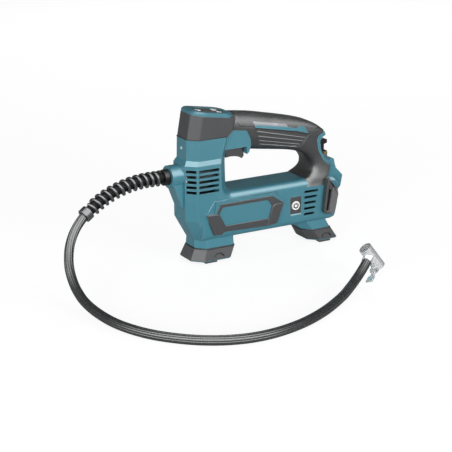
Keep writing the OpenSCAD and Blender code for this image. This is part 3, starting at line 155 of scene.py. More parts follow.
# ---- kinds of finish --------------------------------------------------------------------
@dataclass(frozen=True)
class Moulded:
    """A moulded plastic or rubber: spark-eroded grain, slight mottle, edges paler with rubbed wear
    and a painted highlight, hollows darkened by painted shade.

    The grain of such moulds is 0.1 to 0.3 mm, under a tenth of what one picture element
    covers, so grain_mm is drawn coarser where it has to show.
    """

    name: str
    colour: str
    roughness: float = 0.4
    uneven: float = 0.05
    grain_mm: float = 0.6
    grain_depth_mm: float = 0.02
    mottle: float = 0.05
    # Edge colour: partly rubbed wear, partly a painted highlight.
    edge: str = ""
    edge_mm: float = 0.5
    edge_amount: float = 0.5
    ior: float = 1.52
    coat: float = 0.0
    # Painted shade: colour mixed into hollows by ambient occlusion, and how far the occlusion
    # looks.
    cavity: str = "#08090a"
    cavity_mm: float = 0.0
    gloss: float = 1.0
    # Painted glow: the material emits its own colour, though the part is no lamp.
    glow: float = 0.0

    def material(self) -> bpy.types.Material:
        """Builds the node material."""
        material, add = new_material(self.name)
        place = add("TexCoord").outputs["Object"]
        cloud = add("TexNoise", {"Vector": place}, Scale=45.0, Detail=3.0)
        grain = add("TexNoise", {"Vector": place}, Scale=1 / (self.grain_mm * MM), Detail=2.0)
        darker, lighter = (
            (*[min(1, c * share) for c in linear(self.colour)[:3]], 1.0)
            for share in (1 - self.mottle, 1 + self.mottle)
        )
        mottled = add("Mix", {"Factor": cloud, 6: darker, 7: lighter}, data_type="RGBA")
        colour = mottled.outputs[2]
        # Paler edges: rubbed wear and a painted highlight.
        if self.edge:
            colour = self.rubbed(add, colour, cloud)
        # Painted shade in slots and hollows.
        if self.cavity_mm:
            colour = self.shaded(add, colour)
        rough = add(
            "MapRange",
            {"Value": grain},
            To_Min=max(0.0, self.roughness - self.uneven),
            To_Max=min(1.0, self.roughness + self.uneven),
        )
        bump = add("Bump", {"Height": grain}, Distance=self.grain_depth_mm * MM, Strength=1.0)
        shader = add(
            "BsdfPrincipled",
            {"Base Color": colour, "Roughness": rough, "Normal": bump},
            IOR=self.ior,
            Specular_IOR_Level=self.gloss,
            Emission_Color=linear(self.colour),
            Emission_Strength=self.glow,
            Coat_Weight=self.coat,
        )
        add("OutputMaterial", {"Surface": shader})
        return material

    def shaded(self, add: Adder, colour: Socket) -> Socket:
        """Paints shade into slots and hollows, darker where ambient occlusion finds the surface
        closed in.

        Args:
            add: Adds a node to the material.
            colour: Colour of the plain surface.

        Returns:
            Colour with painted shade in the hollows.
        """
        occlusion = add("AmbientOcclusion", samples=6, Distance=self.cavity_mm * MM)
        level = add(
            "MapRange", {"Value": occlusion.outputs["AO"]}, From_Min=0.12, From_Max=0.5, To_Min=0.05
        )
        inputs = {"Factor": level, 6: linear(self.cavity), 7: colour}
        return add("Mix", inputs, data_type="RGBA").outputs[2]

    def rubbed(self, add: Adder, colour: Socket, cloud: bpy.types.Node) -> Socket:
        """Mixes the paler edge colour in where the surface turns sharply: partly rubbed wear,
        partly a painted highlight.

        Args:
            add: Adds a node to the material.
            colour: Colour of the plain surface.
            cloud: Slow noise that makes the wear and the painted highlight uneven.

        Returns:
            Colour with the edges rubbed and given a painted highlight.
        """
        rounded = add("Bevel", samples=4, Radius=self.edge_mm * MM)
        true = add("NewGeometry").outputs["Normal"]
        turn = add("VectorMath", {0: rounded, 1: true}, operation="DOT_PRODUCT")
        mask = add(
            "MapRange",
            {"Value": turn.outputs["Value"]},
            From_Min=0.995,
            From_Max=0.85,
            To_Max=self.edge_amount,
        )
        worn_and_lit = add("Math", {0: mask, 1: cloud}, operation="MULTIPLY")
        gain = add("Math", {0: worn_and_lit, 1: 1.8}, operation="MULTIPLY", use_clamp=True)
        inputs = {"Factor": gain, 6: colour, 7: linear(self.edge)}
        return add("Mix", inputs, data_type="RGBA").outputs[2]


@dataclass(frozen=True)
class Elastomer:
    """Soft over-mould: satin, with a speckled panel, a painted highlight on each rib's crest and a
    painted shadow under it, a seam line, and painted shade in its hollows.

    The mesh carries where they lie: "grain" and "inner" are the depths inside the two panels
    in millimetres, and "rib" counts the ribs. The seam runs round the grained panel.
    """

    name: str
    colour: str
    speckle: str = "#9a9b9c"
    # Painted highlight on the ribs' crests.
    crest: str = "#8b8d8e"
    # Dark of the seam line, and also of the painted shadow under each rib.
    line: str = "#1a1a1b"
    # Painted shade: colour mixed into hollows by ambient occlusion, and how far the occlusion
    # looks.
    cavity: str = "#0c0c0d"
    roughness: float = 0.38
    uneven: float = 0.06
    speckle_mm: float = 0.9
    relief_mm: float = 0.12
    cavity_mm: float = 40.0
    # How far the painted shadow sits from each crest, in rib counts.
    foot_shift: float = 0.2

    def material(self) -> bpy.types.Material:
        """Builds the node material."""
        material, add = new_material(self.name)
        place = add("TexCoord").outputs["Object"]
        grain, rib, inner = (
            add("Attribute", attribute_name=name).outputs["Fac"]
            for name in ("grain", "rib", "inner")
        )
        on_crest, on_rib_shadow = (
            add(
                "Math",
                {0: add("Math", {0: rib, 1: shift}, operation="ADD"), 1: 0.5},
                operation="PINGPONG",
            )
            for shift in (0.0, self.foot_shift)
        )
        speckles = add("TexVoronoi", {"Vector": place}, Scale=1 / (self.speckle_mm * MM))
        beside_seam = add("Math", {0: grain}, operation="ABSOLUTE")
        # Each mark is whole at the first value beside it, and gone at the second.
        dot, grained, ribbed, crest, foot, seam = (
            add(
                "MapRange",
                {"Value": value},
                interpolation_type="SMOOTHSTEP",
                From_Min=none,
                From_Max=full,
            )
            for value, full, none in (
                (speckles, 0.15, 0.55),
                (grain, 0.3, 0.0),
                (inner, 0.5, 0.1),
                (on_crest, 0.05, 0.12),
                (on_rib_shadow, 0.05, 0.12),
                (beside_seam, 0.4, 0.85),
            )
        )
        dot, crest, foot = (
            add("Math", {0: mark, 1: where}, operation="MULTIPLY")
            for mark, where in ((dot, grained), (crest, ribbed), (foot, ribbed))
        )
        # Painted shade in the hollows of the grip.
        occlusion = add("AmbientOcclusion", Distance=self.cavity_mm * MM).outputs["AO"]
        shade = add("MapRange", {"Value": occlusion}, From_Min=0.3, To_Min=0.9, To_Max=0.0)
        colour = linear(self.colour)
        # Speckles, the painted shadow under each rib, the painted highlight on each crest, the
        # seam line, then painted shade in the hollows.
        for mark, most, over in (
            (dot, 0.3, self.speckle),
            (foot, 0.8, self.line),
            (crest, 0.9, self.crest),
            (seam, 0.85, self.line),
            (shade, 1.0, self.cavity),
        ):
            share = add("Math", {0: mark, 1: most}, operation="MULTIPLY")
            inputs = {"Factor": share, 6: colour, 7: linear(over)}
            colour = add("Mix", inputs, data_type="RGBA").outputs[2]
        raised = add("Math", {0: dot, 1: crest}, operation="ADD")
        height = add("Math", {0: raised, 1: seam}, operation="SUBTRACT")
        bump = add("Bump", {"Height": height}, Distance=self.relief_mm * MM, Strength=1.0)
        rough = add(
            "MapRange",
            {"Value": add("TexNoise", {"Vector": place}, Scale=1400.0)},
            To_Min=self.roughness - self.uneven,
            To_Max=self.roughness + self.uneven,
        )
        shader = add(
            "BsdfPrincipled",
            {"Base Color": colour, "Roughness": rough, "Normal": bump},
            IOR=1.5,
            Specular_IOR_Level=1.0,
        )
        add("OutputMaterial", {"Surface": shader})
        return material


@dataclass(frozen=True)
class Metal:
    """A bare or plated metal with fine tool marks along one axis of the tool."""

    name: str
    colour: str
    roughness: float = 0.3
    mark_mm: tuple[float, float, float] = (6.0, 0.5, 0.5)
    mark_depth_mm: float = 0.01
    metallic: float = 1.0

    def material(self) -> bpy.types.Material:
        """Builds the node material."""
        material, add = new_material(self.name)
        scale = [1 / (m * MM) for m in self.mark_mm]
        stretch = add("Mapping", {"Vector": add("TexCoord").outputs["Object"], "Scale": scale})
        marks = add("TexNoise", {"Vector": stretch}, Scale=1.0, Detail=3.0)
        rough = add(
            "MapRange",
            {"Value": marks},
            To_Min=self.roughness * 0.7,
            To_Max=min(1.0, self.roughness * 1.4),
        )
        bump = add("Bump", {"Height": marks}, Distance=self.mark_depth_mm * MM, Strength=1.0)
        shader = add(
            "BsdfPrincipled",
            {"Roughness": rough, "Normal": bump},
            Base_Color=linear(self.colour),
            Metallic=self.metallic,
        )
        add("OutputMaterial", {"Surface": shader})
        return material


@dataclass(frozen=True)
class Clear:
    """Clear acrylic, as light guides are made of, with a slightly uneven haze."""

    name: str
    colour: str
    roughness: float = 0.05
    transmission: float = 1.0

    def material(self) -> bpy.types.Material:
        """Builds the node material."""
        material, add = new_material(self.name)
        haze = add("TexNoise", {"Vector": add("TexCoord").outputs["Object"]}, Scale=600.0)
        rough = add(
            "MapRange", {"Value": haze}, To_Min=self.roughness * 0.6, To_Max=self.roughness * 1.6
        )
        shader = add(
            "BsdfPrincipled",
            {"Roughness": rough},
            Base_Color=linear(self.colour),
            Transmission_Weight=self.transmission,
            IOR=1.49,
        )
        add("OutputMaterial", {"Surface": shader})
        return material


# ---- meshes -----------------------------------------------------------------------------
def merged_copy(node: str) -> bmesh.types.BMesh:
    """Copies a CAD node's mesh, with its loose triangles merged into whole flat faces.

    Args:
        node: Name of the CAD node.

    Returns:
        The merged mesh.
    """
    bm = bmesh.new()
    bm.from_mesh(frame["nodes"][node].data)
    bmesh.ops.remove_doubles(bm, verts=bm.verts, dist=2e-6)
    bmesh.ops.dissolve_degenerate(bm, dist=1e-6, edges=bm.edges)
    bmesh.ops.dissolve_limit(bm, angle_limit=math.radians(0.5), verts=bm.verts, edges=bm.edges)
    return bm


def soften(
    bm: bmesh.types.BMesh,
    width_mm: float,
    least_angle: float = 24,
    segments: int = 2,
    upright: bool = False,
) -> None:
    """Rounds every edge that is sharper than an angle.

    Args:
        bm: Mesh to change.
        width_mm: Width of the rounding.
        least_angle: Angle between two faces, in degrees, from which an edge is rounded.
        segments: Number of segments across the rounding.
        upright: Whether only outer edges that stand upright are rounded.
    """
    sharp = [
        e
        for e in bm.edges
        if len(e.link_faces) == 2
        and e.calc_face_angle(0) > math.radians(least_angle)
        and e.calc_length() > 1e-5
        and not (upright and not e.is_convex)
        and not (upright and abs((e.verts[0].co - e.verts[1].co).normalized().z) < 0.8)
    ]
    bmesh.ops.bevel(
        bm,
        geom=sharp,
        offset=width_mm * MM,
        offset_type="OFFSET",
        segments=segments,
        profile=0.5,
        affect="EDGES",
        clamp_overlap=True,
        material=-1,
    )


def bridged(rings: Sequence[Sequence[Vector]], capped: bool = True) -> bmesh.types.BMesh:
    """Bridges one ring of points after another.

    Args:
        rings: Points of each ring, all with the same number of points.
        capped: Whether both ends are closed.

    Returns:
        The bridged mesh.
    """
    bm = bmesh.new()
    before: list[bmesh.types.BMEdge] = []
    for points in rings:
        ring = bmesh.ops.create_circle(bm, segments=len(points), radius=1.0)["verts"]
        for vert, point in zip(ring, points):
            vert.co = point
        edges = list(dict.fromkeys(e for v in ring for e in v.link_edges))
        if before:
            bmesh.ops.bridge_loops(bm, edges=before + edges)
        before = edges
    if capped:
        ends = [e for e in bm.edges if len(e.link_faces) == 1]
        bmesh.ops.holes_fill(bm, edges=ends, sides=len(rings[0]))
    bmesh.ops.recalc_face_normals(bm, faces=bm.faces)
    return bm


def spline(points: Sequence[Vector], t: float) -> Vector:
    """Runs a smooth curve from the second to the third of four points.

    Args:
        points: The four points.
        t: Share of the way, from 0 to 1.

    Returns:
        The point of the curve.
    """
    a, b, c, d = points
    return 0.5 * (
        2 * b + (c - a) * t + (2 * a - 5 * b + 4 * c - d) * t * t + (3 * b - a - 3 * c + d) * t**3
    )


def oval(middle: Vector, half_out: Vector, half_across: Vector) -> list[Vector]:
    """Sets eight points round an oval.

    Args:
        middle: Middle of the oval.
        half_out: Half axis towards the first point.
        half_across: Half axis towards the third point.

    Returns:
        The eight points.
    """
    angles = (math.tau * k / 8 for k in range(8))
    return [middle + math.cos(a) * half_out + math.sin(a) * half_across for a in angles]


def placed(across: Vector, up: Vector, ahead: Vector, at: Vector) -> Matrix:
    """Builds a matrix from its axes and its place.

    Args:
        across: X axis.
        up: Y axis.
        ahead: Z axis.
        at: Place.

    Returns:
        The matrix.
    """
    return Matrix([[across[k], up[k], ahead[k], at[k]] for k in range(3)] + [[0, 0, 0, 1]])


def direction(line: Sequence[Vector], i: int) -> Vector:
    """Finds which way a line runs at one of its points.

    Args:
        line: Points of the line.
        i: Number of the point.

    Returns:
        Unit vector from the point before to the point after.
    """
    return (line[min(len(line) - 1, i + 1)] - line[max(0, i - 1)]).normalized()


def prism(outline: Outline, y0: float, y1: float) -> bmesh.types.BMesh:
    """Extrudes an outline in the XZ plane along Y.

    Args:
        outline: Corners as (x, z), in millimetres.
        y0: First end, in millimetres.
        y1: Other end.

    Returns:
        The closed prism.
    """
    return bridged([[Vector((x, y, z)) * MM for x, z in outline] for y in (y0, y1)])


def node_surface(node: str) -> BVHTree:
    """Builds a search tree over the surface of a CAD node.

    Args:
        node: Name of the node.

    Returns:
        The tree, in metres.
    """
    bm = bmesh.new()
    bm.from_mesh(frame["nodes"][node].data)
    tree = BVHTree.FromBMesh(bm)
    bm.free()
    return tree


def on_surface(tree: BVHTree, x: float, z: float, side: Side) -> Vector:
    """Finds the point of a surface straight in from one side.

    Args:
        tree: Search tree of the surface.
        x: X in millimetres.
        z: Z in millimetres.
        side: Side that is looked from.

    Returns:
        The point in metres.
    """
    start = Vector((x, side.value * OUTSIDE_MM, z)) * MM
    hit = tree.ray_cast(start, Vector((0, -side.value, 0)))[0]
    return hit if hit is not None else Vector((x, side.value * MISSED_MM, z)) * MM


def bead(
    tree: BVHTree, line: Outline, side: Side, radius: float, lift: float
) -> bmesh.types.BMesh:
    """Lays a thin round bar along a line on a surface.

    Args:
        tree: Search tree of the surface.
        line: Points as (x, z) in millimetres.
        side: Side of the tool.
        radius: Radius of the bar in millimetres.
        lift: How far its middle stands off the surface, in millimetres.

    Returns:
        The closed bar.
    """
    path: list[Vector] = []
    for (x0, z0), (x1, z1) in zip(line, line[1:]):
        count = max(1, round(math.hypot(x1 - x0, z1 - z0) / BEAD_STEP_MM))
        for k in range(count):
            t = k / count
            path.append(on_surface(tree, x0 + (x1 - x0) * t, z0 + (z1 - z0) * t, side))
    path.append(on_surface(tree, *line[-1], side))
    rings = []
    for i, point in enumerate(path):
        ahead = direction(path, i)
        out = Vector((0, side.value, 0))
        out = (out - out.dot(ahead) * ahead).normalized()
        across = ahead.cross(out)
        middle = point + out * lift * MM
        size = radius * MM * (0.5 if i in (0, len(path) - 1) else 1)
        rings.append(oval(middle, size * out, size * across))
    return bridged(rings)


def weigh_normals(mesh: bpy.types.Mesh, smooth: float) -> None:
    """Shades small faces into the large ones beside them, which stay flat.

    Args:
        mesh: Mesh to shade.
        smooth: Angle in degrees below which two faces shade as one surface.
    """
    limit = math.cos(math.radians(smooth))
    around: list[list[tuple[Vector, float]]] = [[] for _ in mesh.vertices]
    for polygon in mesh.polygons:
        polygon.use_smooth = True
        for vertex in polygon.vertices:
            around[vertex].append((polygon.normal.copy(), polygon.area))
    normals = []
    for polygon in mesh.polygons:
        own = polygon.normal
        for vertex in polygon.vertices:
            total = Vector()
            for normal, area in around[vertex]:
                if normal.dot(own) > limit:
                    total += normal * area
            normals.append(total.normalized() if total.length > 0 else own.copy())
    mesh.normals_split_custom_set(normals)


def piece_from(
    bm: bmesh.types.BMesh,
    name: str,
    finish: str,
    body: str = "tool",
    replaces: Iterable[str] = (),
    smooth: float = 35,
) -> bpy.types.Object:
    """Turns a mesh into a piece of the tool.

    Args:
        bm: Mesh in metres; it is freed here.
        name: Name of the piece.
        finish: Name of its finish.
        body: CAD body that it rides on.
        replaces: CAD nodes that it stands for.
        smooth: Angle in degrees below which two faces shade as one surface.

    Returns:
        The new object.
    """
    mesh = bpy.data.meshes.new(name)
    bm.to_mesh(mesh)
    bm.free()
    mesh.materials.append(MATERIALS[finish])
    weigh_normals(mesh, smooth)
    obj = bpy.data.objects.new(name, mesh)
    bpy.context.scene.collection.objects.link(obj)
    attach(obj, body)
    if replaces:
        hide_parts(*replaces)
    LOG.info("%s: %d faces", name, len(mesh.polygons))
    return obj


# ---- studio -----------------------------------------------------------------------------
@dataclass
class Studio:
    """Camera, pale floor, white surroundings and soft boxes."""

    camera_at: tuple[float, float, float] = (-826.0, -1368.8, 545.6)
    camera_looks: tuple[float, float, float] = (0.4755, 0.8236, -0.309)
    lens_mm: float = 119.47
    sensor_mm: float = 36.0
    floor_half: float = 6000.0
    floor_glow: float = 1.22
    floor_glow_share: float = 0.72
    floor_dim_share: float = 0.2
    fill: float = 0.25
    sky_least: float = 0.12
    sky_most: float = 5.2
    sky_rises: Point = (0.1, 0.34)
    sky_nears: Point = (-0.2, 0.25)
    sky_ends: Point = (0.9, 0.82)
    lit_middle: tuple[float, float, float] = (0.0, 0.0, 0.08)

    def build(self) -> None:
        """Builds the whole set."""
        self.camera()
        self.floor()
        self.world()
        self.lamps()

    def hung(self, name: str, data: bpy.types.ID, at: Vector, ahead: Vector) -> bpy.types.Object:
        """Adds a camera or lamp that looks along a line.

        Args:
            name: Name of the object.
            data: Its camera or lamp.
            at: Its place in metres.
            ahead: Where it looks.

        Returns:
            The new object.
        """
        obj = bpy.data.objects.new(name, data)
        obj.location = at
        obj.rotation_mode = "QUATERNION"
        obj.rotation_quaternion = ahead.to_track_quat("-Z", "Y")
        bpy.context.scene.collection.objects.link(obj)
        return obj

    def camera(self) -> None:
        """Places the camera."""
        data = bpy.data.cameras.new("camera")
        data.lens = self.lens_mm
        data.sensor_width = self.sensor_mm
        data.sensor_fit = "HORIZONTAL"
        data.clip_start, data.clip_end = 0.05, 20
        at, ahead = Vector(self.camera_at) * MM, Vector(self.camera_looks)
        bpy.context.scene.camera = self.hung("camera", data, at, ahead)

    def floor(self) -> None:
        """Lays a pale floor that keeps the shadow and reads as white."""
        material, add = new_material("studio_paper")
        path = add("LightPath").outputs
        share, dim = (
            add("Math", {0: path[ray], 1: most}, operation="MULTIPLY")
            for ray, most in (
                ("Is Camera Ray", self.floor_glow_share), ("Is Glossy Ray", self.floor_dim_share),
            )
        )
        inputs = {"Factor": dim, 6: linear("#e9e9e9"), 7: linear("#000000")}
        tone = add("Mix", inputs, data_type="RGBA").outputs[2]
        paper = add("BsdfDiffuse", {"Color": tone})
        glow = add("Emission", Color=(1, 1, 1, 1), Strength=self.floor_glow)
        add("OutputMaterial", {"Surface": add("MixShader", {0: share, 1: paper, 2: glow})})
        bm = bmesh.new()
        bmesh.ops.create_grid(bm, x_segments=1, y_segments=1, size=self.floor_half * MM)
        mesh = bpy.data.meshes.new("floor")
        bm.to_mesh(mesh)
        bm.free()
        mesh.materials.append(material)
        floor = bpy.data.objects.new("floor", mesh)
        bpy.context.scene.collection.objects.link(floor)

    def world(self) -> None:
        """White for the camera, dim for the light it gives, a bright sky for reflections.

        The sky brightens upwards, towards the camera's side and towards its right-hand end,
        so that only slopes turned that way catch it.
        """
        world = bpy.data.worlds.new("studio")
        world.use_nodes = True
        bpy.context.scene.world = world
        world.node_tree.nodes.clear()
        add = partial(add_node, world.node_tree)
        path = add("LightPath").outputs
        rays = {0: path["Is Camera Ray"], 1: path["Is Transmission Ray"]}
        clear = add("Math", rays, operation="MAXIMUM")
        place = add("TexCoord").outputs["Generated"]
        ahead_x, ahead_y, _ = self.camera_looks
        box: bpy.types.Node | float = 1.0
        for way, (none, full) in (
            ((0.0, 0.0, 1.0), self.sky_rises),
            ((-ahead_x, -ahead_y, 0.0), self.sky_nears),
            ((ahead_y, -ahead_x, 0.0), self.sky_ends),
        ):
            reach = add("VectorMath", {0: place, 1: way}, operation="DOT_PRODUCT")
            part = add(
                "MapRange",
                {"Value": reach.outputs["Value"]},
                interpolation_type="SMOOTHSTEP",
                From_Min=none,
                From_Max=full,
            )
            box = add("Math", {0: box, 1: part}, operation="MULTIPLY")
        sky = add("MapRange", {"Value": box}, To_Min=self.sky_least, To_Max=self.sky_most)
        lit = add("Mix", {0: path["Is Glossy Ray"], 2: self.fill, 3: sky})
        seen = add("Mix", {0: clear, 2: lit, 3: 1.0})
        back = add("Background", {"Strength": seen}, Color=(1, 1, 1, 1))
        add("OutputWorld", {"Surface": back})
        bpy.context.scene.view_settings.view_transform = "Standard"

    def lamps(self) -> None:
        """Hangs the soft boxes: two in front, a weak one behind; none is seen reflected."""
        for name, at, size, watts in (
            ("box_left", (-1.25, -1.05, 0.25), (0.9, 0.4), 17),
            ("box_right", (0.45, -1.5, 0.35), (0.8, 0.5), 12),
            ("box_back", (0.9, 1.3, 0.8), (1.0, 0.75), 5),
        ):
            data = bpy.data.lights.new(name, "AREA")
            data.shape = "RECTANGLE"
            data.size, data.size_y = size
            data.energy = watts
            ahead = Vector(self.lit_middle) - Vector(at)
            self.hung(name, data, Vector(at), ahead).visible_glossy = False


# ---- hose -------------------------------------------------------------------------------
@dataclass
class AirHose:
    """The free hose, its bend guard and what lies on it."""

    route: Sequence[tuple[float, float, float]] = (
        (-108, 0, 99), (-121, 0, 99), (-135, 0, 99), (-150, 0, 97.5), (-165, 0, 94),
        (-179.5, 0, 88.5), (-193, -1, 81.5), (-206, -3, 73.5), (-216, -6, 65.5),
        (-224.5, -10.5, 57), (-232, -17.5, 47.5), (-237.5, -26, 38.5), (-241.5, -36, 30),
        (-244, -48.5, 21.5), (-245.5, -63, 14.5), (-246, -82.5, 9), (-244.5, -107, 6),
        (-241, -136, 5.2), (-233.5, -162, 5.2), (-221.5, -185.5, 5.2), (-204.5, -206, 5.2),
        (-186.5, -221, 5.2), (-165.5, -232, 5.2), (-141.5, -238, 5.2), (-113.5, -237.5, 5.2),
        (-80.5, -229.5, 5.2), (-46.5, -214, 5.2), (-11.5, -191.5, 5.2), (12.5, -173.5, 6.8),
        (26.5, -164.5, 11), (37, -158.5, 16), (47, -153, 22),
    )
    diameter: float = 10.0
    length: float = 643.0
    stations: int = 330
    plugged: float = 8.0
    ridges: int = 9
    ridge_depth: float = 0.4
    guard_from: float = 0.5
    guard_to: float = 6.72
    guard_radius: float = 7.0
    guard_wire: float = 3.2
    guard_curls: int = 12
    lead: float = 3.2 / 14.5
    sleeve_radius: float = 5.25
    knurl: float = 0.3

    def point(self, index: int) -> Vector:
        """Looks up a point of the route, carried straight on past both ends.

        Args:
            index: Number of the point, which may be past an end.

        Returns:
            The point in metres.
        """
        last = len(self.route) - 1
        if index < 0:
            return 2 * self.point(0) - self.point(1)
        if index > last:
            return 2 * self.point(last) - self.point(last - 1)
        return Vector(self.route[index]) * MM

    def along(self, u: float) -> Vector:
        """Point of the smooth middle line; u counts the route's points."""
        i = min(len(self.route) - 2, max(0, math.floor(u)))
        return spline([self.point(i + k) for k in (-1, 0, 1, 2)], u - i)

    def heading(self, u: float) -> Vector:
        """Unit vector along the middle line."""
        last = len(self.route) - 1
        return (self.along(min(last, u + 0.02)) - self.along(max(0, u - 0.02))).normalized()

    def frame_at(self, u: float) -> Matrix:
        """Builds the frame that rides along the hose.

        Args:
            u: Place along the hose; whole numbers are the route's points.

        Returns:
            Matrix whose Z runs along the hose, X across it and level, Y up from it.
        """
        ahead = self.heading(u)
        across = ahead.cross(Vector((0, 0, 1))).normalized()
        return placed(across, across.cross(ahead), ahead, self.along(u))

    def tube(
        self,
        matrices: Sequence[Matrix],
        sides: int,
        radius: Callable[[float, int], float],
    ) -> bmesh.types.BMesh:
        """Makes a closed tube.

        Args:
            matrices: Place of each ring, with its Z along the tube.
            sides: Number of sides.
            radius: Radius in metres from the angle round the ring and the ring's number.

        Returns:
            The closed tube.
        """
        angles = [math.tau * k / sides for k in range(sides)]
        rings = []
        for number, matrix in enumerate(matrices):
            round_it = ((radius(a, number), a) for a in angles)
            rings.append(
                [matrix @ Vector((r * math.cos(a), r * math.sin(a), 0)) for r, a in round_it]
            )
        return bridged(rings)

    def build(self) -> None:
        self.guard()
        last = len(self.route) - 1
        matrices = [self.frame_at(last * i / self.stations) for i in range(self.stations + 1)]
        matrices.insert(0, Matrix.Translation((self.plugged * MM, 0, 0)) @ matrices[0])
        half = self.diameter / 2 * MM
        groove = self.ridge_depth * MM

        def ribbed(angle: float, _number: int) -> float:
            """Radius with shallow lengthwise grooves."""
            return half - groove * max(0.0, math.cos(angle * self.ridges)) ** 4

        bm = self.tube(matrices, self.ridges * 8, ribbed)
        hose = piece_from(
            bm, "air_hose", "hose_rubber", replaces=["hose"], smooth=60
        )
        tuple(self.along(0))

    def guard(self) -> None:
        """Winds the rubber guard round the hose, over a knurled sleeve."""
        per_curl = 20
        rings = self.guard_curls * per_curl
        span = self.guard_to - self.guard_from - 2 * self.lead

        def centre(i: float) -> Vector:
            """Finds the middle of the wound bar.

            Args:
                i: Number of the ring, counted from the bar's start.

            Returns:
                The point in metres.
            """
            u = self.guard_from + self.lead + span * i / rings
            angle = math.radians(90 - 360 * i / per_curl)
            size = self.guard_radius * MM
            return self.frame_at(u) @ Vector((size * math.cos(angle), size * math.sin(angle), 0))

        matrices = []
        for i in range(rings + 1):
            at = centre(i)
            ahead = (centre(min(rings, i + 1)) - centre(max(0, i - 1))).normalized()
            u = self.guard_from + self.lead + span * i / rings
            out = at - self.along(u)
            out = (out - out.dot(ahead) * ahead).normalized()
            matrices.append(placed(out, ahead.cross(out), ahead, at))
        half = self.guard_wire / 2 * MM

        def squarish(angle: float, _number: int) -> float:
            """Radius of a bar with slightly flattened flanks."""
            return half * (1 + 0.1 * math.sin(2 * angle) ** 2)

        bm = self.tube(matrices, 12, squarish)
        piece_from(
            bm, "bend_guard", "guard_rubber", replaces=["guard_spring"],
            smooth=60,
        )

        def knurled(angle: float, number: int) -> float:
            """Radius of a sleeve with small square knobs."""
            knob = number % 4 > 1 and math.cos(16 * angle) > 0
            return (self.sleeve_radius + self.knurl * knob) * MM

        steps = 260
        whole = self.guard_to - self.guard_from
        stations = [self.guard_from + whole * i / steps for i in range(steps + 1)]
        bm = self.tube([self.frame_at(u) for u in stations], 32, knurled)
        piece_from(bm, "guard_sleeve", "seal_rubber", smooth=30)


# ---- grip -------------------------------------------------------------------------------
def smooth_step(low: float, high: float, value: float) -> float:
    """Steps smoothly from 0 to 1.

    Args:
        low: Value up to which the step is 0.
        high: Value from which it is 1.
        value: Value to look up.

    Returns:
        The step's height at the value.
    """
    t = min(1.0, max(0.0, (value - low) / (high - low)))
    return t * t * (3 - 2 * t)


def line_distance(line: Outline, x: float, z: float) -> float:
    """Measures the distance from a point to an open line.

    Args:
        line: Points of the line.
        x: First coordinate of the point.
        z: Second coordinate of the point.

    Returns:
        The distance, in the line's units.
    """
    best = 1e9
    for (x0, z0), (x1, z1) in zip(line, line[1:]):
        dx, dz = x1 - x0, z1 - z0
        t = min(1.0, max(0.0, ((x - x0) * dx + (z - z0) * dz) / (dx * dx + dz * dz)))
        best = min(best, math.hypot(x - x0 - t * dx, z - z0 - t * dz))
    return best


def inside_depth(outline: Outline, x: float, z: float) -> float:
    """Measures how deep a point lies inside an outline.

    Args:
        outline: Corners of the outline.
        x: First coordinate of the point.
        z: Second coordinate of the point.

    Returns:
        The distance to the outline's edge, negative outside it.
    """
    inside = False
    closed = list(outline) + [outline[0]]
    for (x0, z0), (x1, z1) in zip(closed, closed[1:]):
        if (z0 > z) != (z1 > z) and x < x0 + (x1 - x0) * (z - z0) / (z1 - z0):
            inside = not inside
    distance = line_distance(closed, x, z)
    return distance if inside else -distance


